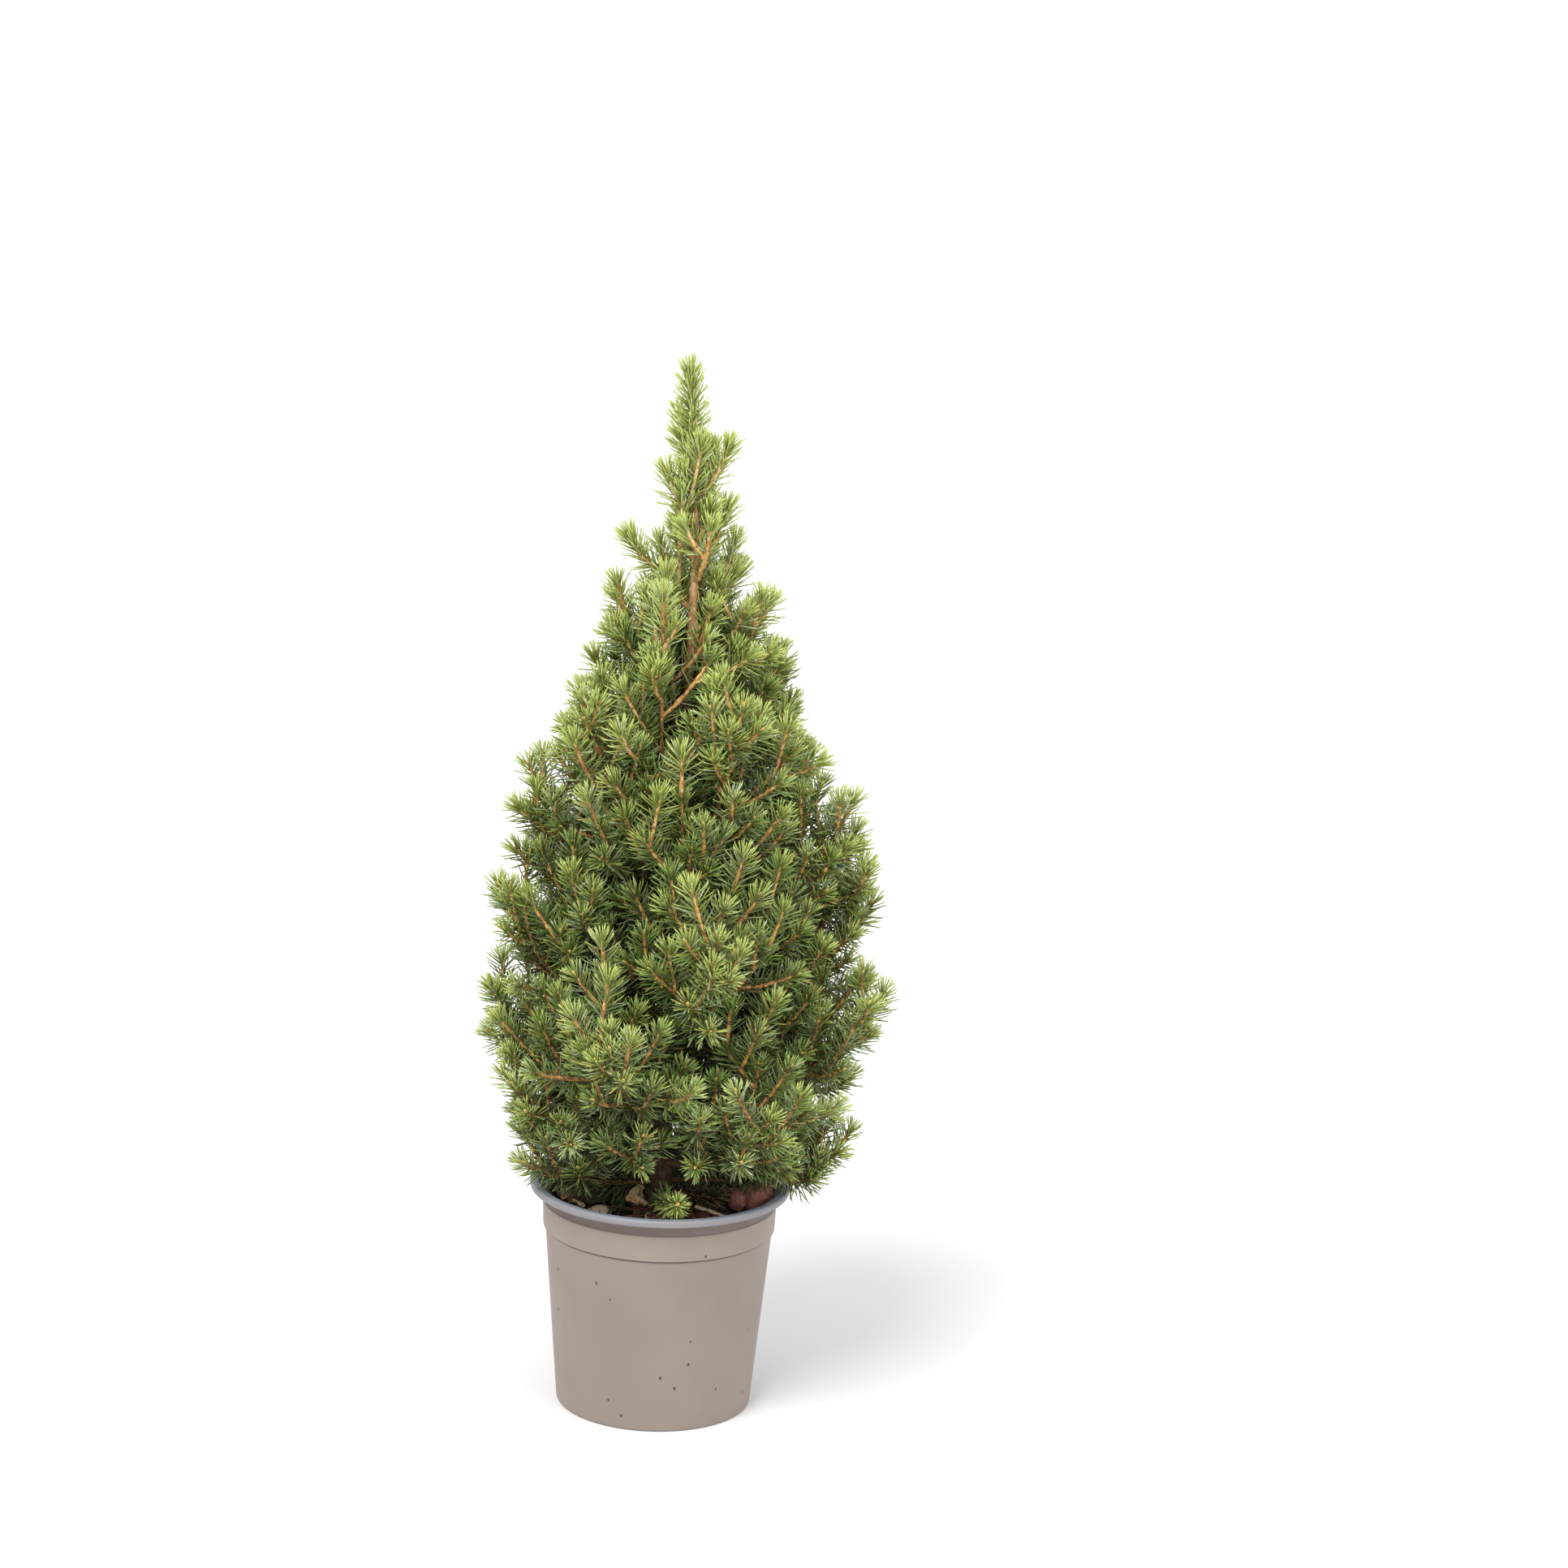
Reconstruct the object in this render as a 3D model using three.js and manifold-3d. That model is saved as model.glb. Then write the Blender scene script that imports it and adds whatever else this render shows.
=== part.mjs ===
// A young dwarf white spruce in its round nursery pot.
// Units are millimetres, +Z is up, and the origin is the centre of the pot's flat underside.
// The trunk runs whole from the soil to the foot of the top shoot. Boughs leave it in tiers that
// turn past each other, and each bough ends where its mass of foliage begins. At the foot of the
// crown, at its neck and along the leader the masses stand straight on the trunk.
import * as THREE from "three";
import { mergeVertices } from "three/addons/utils/BufferGeometryUtils.js";
import Module from "manifold-3d";

const wasm = await Module();
wasm.setup();

// Driving sizes of the pot
const POT_HEIGHT = 115;
const LIP_RADIUS = 65;
const LIP_THICKNESS = 3.8;
const LIP_ROUNDING = 0.9;
const NECK_RADIUS = 57.9;
const COLLAR_TOP = 104.5;
const COLLAR_TOP_RADIUS = 58.5;
const COLLAR_FOOT = 91.8;
const COLLAR_FOOT_RADIUS = 58;
const BODY_TOP_RADIUS = 56.8;
const BASE_RADIUS = 49;
const BASE_ROUNDING = 1.5;
const STEP_HEIGHT = 0.7;
const WALL = 1.2;
const FLOOR = 1.6;
const POT_SEGMENTS = 36;
const DRAIN_HOLES = 6;
const DRAIN_RADIUS = 4;
const DRAIN_CIRCLE = 34;

// Driving sizes of the soil
const SOIL_LEVEL = 103;
const SOIL_SEGMENTS = 20;
const SOIL_RINGS = [11, 21, 32, 44];
const SOIL_ROUGHNESS = 1.8;
const SOIL_EDGE_DROP = 3;
const LEVEL_SOIL_RADIUS = 15;

// Clearance between pieces that meet, and between soil and pot wall
const GAP = 0.3;
const SOIL_GAP = 0.7;

// Driving sizes of the trunk
const TRUNK_FOOT = SOIL_LEVEL + GAP;
const TRUNK_TIP = 484;
const TRUNK_FOOT_RADIUS = 5.4;
const TRUNK_TIP_RADIUS = 1.3;
const FLARE = 2.6;
const FLARE_HEIGHT = 9;
const TRUNK_BOW = 6;
const TRUNK_SWAY = 3;
const TRUNK_STEPS = 24;
const TRUNK_SIDES = 10;
const TOP_BUD = 520;

// The crown's reach from the middle of the pot, as [height, radius] pairs, and how much more of it
// there is towards +X than across, as a share
const OUTLINE = [
  [104, 60],
  [118, 77],
  [128, 86],
  [150, 92],
  [180, 98],
  [210, 103],
  [250, 98],
  [285, 94],
  [315, 88],
  [345, 77],
  [375, 61],
  [395, 49],
  [415, 42],
  [440, 33],
  [465, 23],
  [490, 16],
  [510, 10],
  [529, 2],
];
const CROWN_LEAN = 0.08;
const TIP_INSET = 6;

// Tiers of boughs: the height where they leave the trunk, the height of their tips, how many there
// are, the first one's direction in degrees from +X, how steeply they set off, and how many side
// shoots each carries. A tier with no limb stands straight on the trunk.
const TIERS = [
  { name: "skirt", from: 113, tip: 138, count: 5, turn: -80, rise: 0.1, limb: false, shoots: 4 },
  { name: "low", from: 127, tip: 174, count: 4, turn: -55, rise: 0.16, limb: true, shoots: 6 },
  { name: "belly", from: 150, tip: 214, count: 4, turn: -8, rise: 0.18, limb: true, shoots: 6 },
  { name: "waist", from: 181, tip: 264, count: 4, turn: -74, rise: 0.22, limb: true, shoots: 6 },
  { name: "breast", from: 216, tip: 318, count: 4, turn: -100, rise: 0.26, limb: true, shoots: 6 },
  { name: "shoulder", from: 266, tip: 368, count: 4, turn: -58, rise: 0.32, limb: true, shoots: 5 },
  { name: "neck", from: 334, tip: 414, count: 4, turn: -12, rise: 0.36, limb: false, shoots: 3 },
];
// The strong front bough that climbs beside the trunk like a second leader
const SECOND_LEADER = { name: "breast_1", from: 190, tip: 418, reach: 43, rise: 0.2, shoots: 10 };
// The low front shoot that leans over the lip, with no side shoots of its own
const LOW_FRONT = { name: "skirt_1", from: 110, tip: 122, reach: 60, rise: 0.1, shoots: 0 };
const TURN_SPREAD = 7;
const TIP_SPREAD = 7;
const FROM_SPREAD = 4;

// Sizes of boughs
const BOUGH_SHARE = 0.34;
const BOUGH_OUTWARD = 0.62;
const BOUGH_RADIUS = 2.9;
const BOUGH_TIP_RADIUS = 1.7;
const BOUGH_SIDES = 5;
const BOUGH_STEPS = 4;

// Sizes of shoots. Side shoots are shorter on a bough shorter than FULL_BOUGH and towards its tip.
const STEM_RADIUS = 1.5;
const SHOOT_RADIUS = 1.2;
const SHOOT_TIP_RADIUS = 0.9;
const SIDE_LENGTH = 56;
const SIDE_ANGLE = 50;
const SIDE_LIFT = 0.75;
const SHORTEST_SHOOT = 16;
const SHORTEN = 0.82;
const TIP_SHORTENING = 0.55;
const SINKING_SHORTENING = 0.6;
const FULL_BOUGH = 105;
const FIRST_SHARE = 0.04;
const FIRST_SHARE_ON_TRUNK = 0.25;
const LAST_SHARE = 0.86;
const SHOOT_ROOM = 3.5;
const GOLDEN_ANGLE = 137.5;

// Sizes of the needles that stand out of a shoot's core
const BAND = 11;
const TWIST = 47;
const NEEDLE = 12;
const NEEDLE_ANGLE = 52;
const NEEDLE_SHARE = 0.36;
const NEEDLE_THICKNESS = 1;
const NEEDLE_ROOM = 0.5;
const BUD = 8.5;

// The leader's own short shoots
const LEADER_SHOOTS = 7;
const LEADER_FROM = 392;
const LEADER_TO = 474;
const LEADER_TURN = 20;
const LEADER_LENGTH = 36;
const LEADER_SHORTENING = 9;
const LEADER_LEAN = 36;
const LEADER_SIDE_LENGTH = 24;
const BRANCHED_LEADER_SHOOTS = 3;

// Details finer than this are smoothed away where shoots are joined
const SMALLEST_DETAIL = 0.05;
const MOST_TRIES = 4;

const UP = new THREE.Vector3(0, 0, 1);
const SIDEWAYS = new THREE.Vector3(1, 0, 0);
const radians = THREE.MathUtils.degToRad;
const mix = THREE.MathUtils.lerp;
const clamp = THREE.MathUtils.clamp;

// The same number from 0 to 1 for the same thing and trait, every time.
function chance(thing, trait) {
  const wave = Math.sin(thing * 127.1 + trait * 311.7 + 74.7) * 43758.5453;
  return wave - Math.floor(wave);
}

function spread(thing, trait, amount) {
  return (chance(thing, trait) * 2 - 1) * amount;
}

// Reach of the crown at a height, read between the outline's pairs, in a direction in radians.
function outlineAt(z, azimuth) {
  const lean = 1 + CROWN_LEAN * Math.cos(azimuth);
  if (z <= OUTLINE[0][0]) return OUTLINE[0][1] * lean;
  for (let i = 1; i < OUTLINE.length; i++) {
    const [z0, r0] = OUTLINE[i - 1];
    const [z1, r1] = OUTLINE[i];
    if (z <= z1) return mix(r0, r1, (z - z0) / (z1 - z0)) * lean;
  }
  return 0;
}

// The trunk's centre line bows to one side and comes back under the tip.
function trunkAxis(z) {
  const t = clamp((z - TRUNK_FOOT) / (TOP_BUD - TRUNK_FOOT), 0, 1);
  const bow = TRUNK_BOW * Math.sin(Math.PI * Math.pow(t, 2.4));
  const sway = TRUNK_SWAY * Math.sin(2 * Math.PI * t);
  return new THREE.Vector3(bow, sway, z);
}

function trunkRadius(z) {
  const t = (z - TRUNK_FOOT) / (TRUNK_TIP - TRUNK_FOOT);
  const flare = FLARE * Math.exp(-(z - TRUNK_FOOT) / FLARE_HEIGHT);
  return mix(TRUNK_FOOT_RADIUS, TRUNK_TIP_RADIUS, Math.pow(t, 1.1)) + flare;
}

// Two directions square to a tangent, the first one level.
function acrossOf(tangent) {
  const reference = Math.abs(tangent.z) > 0.98 ? SIDEWAYS : UP;
  const level = new THREE.Vector3().crossVectors(tangent, reference).normalize();
  const high = new THREE.Vector3().crossVectors(level, tangent).normalize();
  return [level, high];
}

// Closed geometry from numbers and triangles: points that fall together are merged, triangles that
// this leaves with no area go, and all the others face outwards.
function closedGeometry(numbers, triangles) {
  const loose = new THREE.BufferGeometry();
  loose.setAttribute("position", new THREE.Float32BufferAttribute(numbers, 3));
  loose.setIndex(triangles);
  const merged = mergeVertices(loose, 1e-3);
  const old = merged.index.array;
  const kept = [];
  let volume = 0;
  for (let i = 0; i < old.length; i += 3) {
    const corners = [old[i], old[i + 1], old[i + 2]];
    if (new Set(corners).size < 3) continue;
    const [a, b, c] = corners.map((k) => {
      return new THREE.Vector3().fromBufferAttribute(merged.attributes.position, k);
    });
    volume += a.dot(b.cross(c));
    kept.push(...corners);
  }
  if (volume < 0) kept.reverse();
  merged.setIndex(kept);
  return merged;
}

function toSolid(geometry) {
  const { array } = geometry.attributes.position;
  const clean = closedGeometry(Array.from(array), Array.from(geometry.index.array));
  return new wasm.Manifold(
    new wasm.Mesh({
      numProp: 3,
      vertProperties: new Float32Array(clean.attributes.position.array),
      triVerts: new Uint32Array(clean.index.array),
    }),
  );
}

function toGeometry(solid) {
  const mesh = solid.getMesh();
  const geometry = closedGeometry(Array.from(mesh.vertProperties), Array.from(mesh.triVerts));
  geometry.computeVertexNormals();
  return geometry;
}

// A profile of [radius, height] pairs turned about +Z.
function turned(profile, segments) {
  const points = profile.map(([radius, height]) => new THREE.Vector2(radius, height));
  return new THREE.LatheGeometry(points, segments).rotateX(Math.PI / 2);
}

// Pot: a tapering body, a collar, a narrow neck and a flanged lip, with drain holes in its floor
function potGeometry() {
  const lipFoot = POT_HEIGHT - LIP_THICKNESS;
  const innerNeck = NECK_RADIUS - WALL;
  const shell = turned(
    [
      [0, 0],
      [BASE_RADIUS - BASE_ROUNDING, 0],
      [BASE_RADIUS, BASE_ROUNDING],
      [BODY_TOP_RADIUS, COLLAR_FOOT - STEP_HEIGHT],
      [COLLAR_FOOT_RADIUS, COLLAR_FOOT],
      [COLLAR_TOP_RADIUS, COLLAR_TOP],
      [NECK_RADIUS, COLLAR_TOP + STEP_HEIGHT],
      [NECK_RADIUS, lipFoot],
      [LIP_RADIUS - LIP_ROUNDING, lipFoot],
      [LIP_RADIUS, lipFoot + LIP_ROUNDING],
      [LIP_RADIUS, POT_HEIGHT - LIP_ROUNDING],
      [LIP_RADIUS - LIP_ROUNDING, POT_HEIGHT],
      [innerNeck + LIP_ROUNDING, POT_HEIGHT],
      [innerNeck, POT_HEIGHT - LIP_ROUNDING],
      [innerNeck, COLLAR_FOOT + WALL],
      [BODY_TOP_RADIUS - WALL, COLLAR_FOOT - STEP_HEIGHT],
      [BASE_RADIUS - WALL, BASE_ROUNDING + FLOOR],
      [BASE_RADIUS - WALL - BASE_ROUNDING, FLOOR],
      [0, FLOOR],
    ],
    POT_SEGMENTS,
  );
  let pot = toSolid(shell);
  for (let i = 0; i < DRAIN_HOLES; i++) {
    const turn = radians((i * 360) / DRAIN_HOLES);
    const drill = new THREE.CylinderGeometry(DRAIN_RADIUS, DRAIN_RADIUS, 4 * FLOOR, 12);
    drill.rotateX(Math.PI / 2);
    drill.translate(DRAIN_CIRCLE * Math.cos(turn), DRAIN_CIRCLE * Math.sin(turn), 0);
    pot = pot.subtract(toSolid(drill));
  }
  return toGeometry(pot);
}

// Soil: fills the pot to just under the lip, level round the trunk and rough elsewhere
function soilGeometry() {
  const foot = FLOOR + GAP;
  const shoulder = COLLAR_FOOT - STEP_HEIGHT;
  const fill = turned(
    [
      [0, foot],
      [BASE_RADIUS - WALL - BASE_ROUNDING - SOIL_GAP, foot],
      [BASE_RADIUS - WALL - SOIL_GAP, BASE_ROUNDING + foot],
      [BODY_TOP_RADIUS - WALL - SOIL_GAP, shoulder],
      [BODY_TOP_RADIUS - WALL - SOIL_GAP, SOIL_LEVEL - SOIL_EDGE_DROP],
      ...SOIL_RINGS.toReversed().map((radius) => [radius, SOIL_LEVEL]),
      [0, SOIL_LEVEL],
    ],
    SOIL_SEGMENTS,
  );
  const p = fill.attributes.position;
  for (let i = 0; i < p.count; i++) {
    const [x, y] = [p.getX(i), p.getY(i)];
    if (p.getZ(i) < SOIL_LEVEL - GAP || Math.hypot(x, y) < LEVEL_SOIL_RADIUS) continue;
    const place = Math.round(x * 3) * 31 + Math.round(y * 3);
    p.setZ(i, SOIL_LEVEL - chance(place, 5) * SOIL_ROUGHNESS);
  }
  return closedGeometry(Array.from(p.array), Array.from(fill.index.array));
}

// Trunk: its sections stay level, so that it is cut flat at the ground and under its top shoot
function trunkGeometry() {
  const profile = [[0, 0]];
  for (let i = 0; i <= TRUNK_STEPS; i++) {
    const share = Math.pow(i / TRUNK_STEPS, 1.25);
    profile.push([trunkRadius(mix(TRUNK_FOOT, TRUNK_TIP, share)), share]);
  }
  profile.push([0, 1]);
  const straight = turned(profile, TRUNK_SIDES);
  const p = straight.attributes.position;
  for (let i = 0; i < p.count; i++) {
    const axis = trunkAxis(mix(TRUNK_FOOT, TRUNK_TIP, p.getZ(i)));
    p.setXYZ(i, axis.x + p.getX(i), axis.y + p.getY(i), axis.z);
  }
  return closedGeometry(Array.from(p.array), Array.from(straight.index.array));
}

// Bough: a tapering limb, turned straight and then laid along its path
function boughGeometry(path) {
  const profile = [[0, 0]];
  for (let i = 0; i <= BOUGH_STEPS; i++) {
    const share = i / BOUGH_STEPS;
    profile.push([mix(BOUGH_RADIUS, BOUGH_TIP_RADIUS, share), share]);
  }
  profile.push([0, 1]);
  const straight = turned(profile, BOUGH_SIDES);
  const p = straight.attributes.position;
  for (let i = 0; i < p.count; i++) {
    const share = clamp(p.getZ(i), 0, 1);
    const [level, high] = acrossOf(path.getTangent(share));
    const point = path.getPoint(share);
    point.addScaledVector(level, p.getX(i)).addScaledVector(high, p.getY(i));
    p.setXYZ(i, point.x, point.y, point.z);
  }
  return closedGeometry(Array.from(p.array), Array.from(straight.index.array));
}

// Distance between two straight pieces, each [start, end].
function distanceBetween([p1, q1], [p2, q2]) {
  const d1 = q1.clone().sub(p1);
  const d2 = q2.clone().sub(p2);
  const r = p1.clone().sub(p2);
  const [a, b, c, e, f] = [d1.dot(d1), d1.dot(d2), d1.dot(r), d2.dot(d2), d2.dot(r)];
  const denominator = a * e - b * b;
  let s = denominator > 1e-9 ? clamp((b * f - c * e) / denominator, 0, 1) : 0;
  let t = (b * s + f) / e;
  if (t < 0 || t > 1) {
    t = clamp(t, 0, 1);
    s = clamp((b * t - c) / a, 0, 1);
  }
  const near1 = p1.clone().addScaledVector(d1, s);
  const near2 = p2.clone().addScaledVector(d2, t);
  return near1.distanceTo(near2);
}

// Everything that takes up room: straight pieces with a thickness, and whose they are.
const taken = [];

function take(start, end, thickness, owner) {
  const middle = start.clone().lerp(end, 0.5);
  taken.push({ ends: [start, end], thickness, owner, middle, half: start.distanceTo(end) / 2 });
}

// True if a straight piece keeps `room` clear of all that belongs to others.
function isFree(start, end, thickness, owner, room) {
  const middle = start.clone().lerp(end, 0.5);
  const half = start.distanceTo(end) / 2;
  return taken.every((other) => {
    if (other.owner === owner) return true;
    const need = thickness + other.thickness + room;
    if (middle.distanceTo(other.middle) > half + other.half + need) return true;
    return distanceBetween([start, end], other.ends) > need;
  });
}

// A path as straight pieces, the last one being the bud that stands on from its end.
function piecesOf(path, bud) {
  const points = path.getPoints(6);
  if (bud) points.push(points.at(-1).clone().addScaledVector(path.getTangent(1), bud));
  return points.slice(1).map((end, i) => [points[i], end]);
}

function takePath(path, thickness, owner, bud = 0) {
  piecesOf(path, bud).forEach(([start, end]) => take(start, end, thickness, owner));
}

function pathIsFree(path, owner) {
  return piecesOf(path, BUD).every(([start, end]) => {
    return isFree(start, end, SHOOT_RADIUS, owner, SHOOT_ROOM);
  });
}

// Foliage keeps above the soil and off the pot's wall and lip.
function clearOfPot(point) {
  const radius = Math.hypot(point.x, point.y);
  if (radius < NECK_RADIUS - 3) return point.z > SOIL_LEVEL + 1;
  if (radius > LIP_RADIUS + 3) return point.z > POT_HEIGHT - 12;
  return point.z > POT_HEIGHT + 1;
}

function insideOutline(point) {
  const reach = outlineAt(point.z, Math.atan2(point.y, point.x));
  return Math.hypot(point.x, point.y) <= reach - TIP_INSET + 1;
}

// The part of a curve between two shares of its run.
function partOf(path, from, to) {
  const [start, end] = [path.getPoint(from), path.getPoint(to)];
  const middle = path.getPoint((from + to) / 2).multiplyScalar(2);
  middle.addScaledVector(start, -0.5).addScaledVector(end, -0.5);
  return new THREE.QuadraticBezierCurve3(start, middle, end);
}

// Where a bough runs: it sets off nearly level, and climbs towards its tip.
function boughPath(bough, radius) {
  const away = new THREE.Vector3(Math.cos(bough.azimuth), Math.sin(bough.azimuth), 0);
  const tip = away.clone().multiplyScalar(bough.reach).setZ(bough.tip);
  const axis = trunkAxis(bough.from);
  const middle = axis.clone().addScaledVector(away, bough.reach * BOUGH_OUTWARD);
  middle.z += (bough.tip - bough.from) * bough.rise;
  const climb = middle.clone().sub(axis).normalize().z;
  const start = axis.addScaledVector(away, trunkRadius(bough.from) + GAP + radius * climb);
  return new THREE.QuadraticBezierCurve3(start, middle, tip);
}

// A run that leaves a point one way and bends upwards half way along.
function bendingPath(start, setOff, length, lift) {
  const finish = setOff.clone().addScaledVector(UP, lift).normalize();
  const middle = start.clone().addScaledVector(setOff, length / 2);
  const end = middle.clone().addScaledVector(finish, length / 2);
  return new THREE.QuadraticBezierCurve3(start, middle, end);
}

// A side shoot's run, which leaves the stem at an angle.
function sidePath(stem, share, roll, length) {
  const tangent = stem.getTangent(share);
  const [level, high] = acrossOf(tangent);
  const away = level.multiplyScalar(Math.cos(roll)).addScaledVector(high, Math.sin(roll));
  const angle = radians(SIDE_ANGLE);
  const setOff = tangent.multiplyScalar(Math.cos(angle)).addScaledVector(away, Math.sin(angle));
  return bendingPath(stem.getPoint(share), setOff, length, SIDE_LIFT);
}

// The boughs of all tiers, with the two that stand out given their own sizes
function makeBoughs() {
  const boughs = [];
  TIERS.forEach((tier, level) => {
    for (let i = 0; i < tier.count; i++) {
      const seed = level * 10 + i;
      const turn = tier.turn + (360 / tier.count) * i + (i ? spread(seed, 1, TURN_SPREAD) : 0);
      const azimuth = radians(turn);
      const tip = tier.tip + (i ? spread(seed, 2, TIP_SPREAD) : 0);
      const bough = {
        ...tier,
        name: `${tier.name}_${i + 1}`,
        seed,
        azimuth,
        from: tier.from + spread(seed, 3, FROM_SPREAD),
        tip,
        reach: outlineAt(tip, azimuth) - TIP_INSET,
      };
      for (const special of [SECOND_LEADER, LOW_FRONT]) {
        if (special.name === bough.name) Object.assign(bough, special);
      }
      boughs.push(bough);
    }
  });
  return boughs;
}

// The mass of foliage at the end of a bough, or straight on the trunk
function massOnBough(bough, path) {
  const length = path.getLength();
  const stem = bough.limb ? partOf(path, BOUGH_SHARE + GAP / length, 1) : path;
  return {
    name: `foliage_${bough.name}`,
    seed: bough.seed + 3,
    stem,
    count: bough.shoots,
    firstShare: bough.limb ? FIRST_SHARE : FIRST_SHARE_ON_TRUNK,
    sideLength: SIDE_LENGTH * Math.min(1, length / FULL_BOUGH),
    shoots: [{ path: stem, radius: STEM_RADIUS }],
  };
}

// The short shoots along the leader, each leaning out of the trunk and turning upwards
function leaderMasses() {
  const lean = radians(LEADER_LEAN);
  return Array.from({ length: LEADER_SHOOTS }, (_, i) => {
    const share = i / (LEADER_SHOOTS - 1);
    const from = mix(LEADER_FROM, LEADER_TO, share);
    const azimuth = radians(i * GOLDEN_ANGLE + LEADER_TURN);
    const away = new THREE.Vector3(Math.cos(azimuth), Math.sin(azimuth), 0);
    const offset = trunkRadius(from) + GAP + SHOOT_RADIUS * Math.cos(lean);
    const start = trunkAxis(from).addScaledVector(away, offset);
    const setOff = away.multiplyScalar(Math.sin(lean)).addScaledVector(UP, Math.cos(lean));
    const path = bendingPath(start, setOff, LEADER_LENGTH - LEADER_SHORTENING * share, 1);
    return {
      name: `foliage_leader_${i + 1}`,
      seed: 90 + i,
      stem: path,
      count: i < BRANCHED_LEADER_SHOOTS ? 1 : 0,
      firstShare: FIRST_SHARE_ON_TRUNK,
      sideLength: LEADER_SIDE_LENGTH,
      shoots: [{ path, radius: SHOOT_RADIUS }],
    };
  });
}

// The top shoot, which carries the trunk's line on to the bud
function topMass() {
  const path = new THREE.LineCurve3(trunkAxis(TRUNK_TIP + GAP), trunkAxis(TOP_BUD));
  const shoots = [{ path, radius: SHOOT_RADIUS }];
  return { name: "foliage_top", seed: 99, stem: path, count: 0, shoots };
}

// Side shoots wind round the stem. Each is shortened until it is inside the crown and clear of others.
function addSideShoots(mass) {
  for (let k = 0; k < mass.count; k++) {
    const place = (k + 0.5 + spread(mass.seed, 20 + k, 0.3)) / mass.count;
    const share = mix(mass.firstShare, LAST_SHARE, place);
    const roll = radians(k * GOLDEN_ANGLE + 40 + spread(mass.seed, 40 + k, 20));
    const sinking = Math.sin(roll) < -0.5 ? SINKING_SHORTENING : 1;
    let length = mass.sideLength * mix(1, TIP_SHORTENING, share) * sinking;
    for (; length >= SHORTEST_SHOOT; length *= SHORTEN) {
      const path = sidePath(mass.stem, share, roll, length);
      const ends = piecesOf(path, BUD).map(([, end]) => end);
      if (!ends.every(clearOfPot) || !insideOutline(path.getPoint(1))) continue;
      if (!pathIsFree(partOf(path, 0.25, 1), mass.name)) continue;
      mass.shoots.push({ path, radius: SHOOT_RADIUS });
      takePath(path, SHOOT_RADIUS, mass.name, BUD);
      break;
    }
  }
}

// Root and tip of a needle that stands out of one face of a shoot's core.
function needleOn(corners, near, far, seed) {
  const root = new THREE.Vector3();
  corners.forEach((corner) => root.addScaledVector(corner, 1 / 3));
  const along = far.clone().sub(near).normalize();
  const out = root.clone().sub(near);
  out.addScaledVector(along, -out.dot(along)).normalize();
  const angle = radians(NEEDLE_ANGLE + spread(seed, 12, 6));
  const length = NEEDLE * (1 + spread(seed, 13, 0.1));
  const tip = root.clone();
  tip.addScaledVector(along, length * Math.cos(angle)).addScaledVector(out, length * Math.sin(angle));
  return { root, tip };
}

function needleIsFree({ root, tip }, owner) {
  const [start, half] = [root.clone().lerp(tip, 0.12), root.clone().lerp(tip, 0.5)];
  const clear = clearOfPot(half) && clearOfPot(tip);
  return clear && isFree(start, tip, NEEDLE_THICKNESS, owner, NEEDLE_ROOM);
}

// A shoot: a slim three-sided twisted core, with a needle drawn out of some of the faces with room
function shootGeometry({ path, radius }, seed, owner) {
  const bands = Math.max(2, Math.round(path.getLength() / BAND));
  const centres = [];
  const points = [];
  const faces = [[2, 1, 0]];
  for (let k = 0; k <= bands; k++) {
    const share = k / bands;
    const centre = path.getPoint(share);
    const [level, high] = acrossOf(path.getTangent(share));
    const thickness = mix(radius, SHOOT_TIP_RADIUS, share);
    centres.push(centre);
    for (let side = 0; side < 3; side++) {
      const turn = radians(side * 120 + k * TWIST + seed * 31);
      const corner = centre.clone().addScaledVector(level, thickness * Math.cos(turn));
      points.push(corner.addScaledVector(high, thickness * Math.sin(turn)));
    }
  }
  const last = bands * 3;
  const bud = points.push(centres[bands].clone().addScaledVector(path.getTangent(1), BUD)) - 1;
  for (let side = 0; side < 3; side++) faces.push([last + side, last + ((side + 1) % 3), bud]);

  for (let number = 0; number < bands * 6; number++) {
    const band = Math.floor(number / 6);
    const side = Math.floor(number / 2) % 3;
    const [a, b] = [band * 3 + side, band * 3 + ((side + 1) % 3)];
    const face = number % 2 ? [b, b + 3, a + 3] : [a, b, a + 3];
    const corners = face.map((i) => points[i]);
    const needle = needleOn(corners, centres[band], centres[band + 1], seed + number);
    const wanted = chance(seed * 97 + number, 8) < NEEDLE_SHARE;
    if (wanted && needleIsFree(needle, owner)) {
      const tip = points.push(needle.tip) - 1;
      faces.push([face[0], face[1], tip], [face[1], face[2], tip], [face[2], face[0], tip]);
      take(needle.root, needle.tip, NEEDLE_THICKNESS, owner);
    } else {
      faces.push(face);
    }
  }
  return closedGeometry(points.flatMap((point) => point.toArray()), faces.flat());
}

// True if the surface is closed, and passes each edge only once each way, also once the points that
// fall together are made one.
function isSound(solid) {
  const geometry = toGeometry(solid);
  const { array } = geometry.index;
  const count = geometry.attributes.position.count;
  const edges = new Set();
  for (let i = 0; i < array.length; i += 3) {
    for (let k = 0; k < 3; k++) edges.add(array[i + k] * count + array[i + ((k + 1) % 3)]);
  }
  const closed = [...edges].every((edge) => edges.has((edge % count) * count + Math.floor(edge / count)));
  return closed && edges.size === array.length;
}

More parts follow.
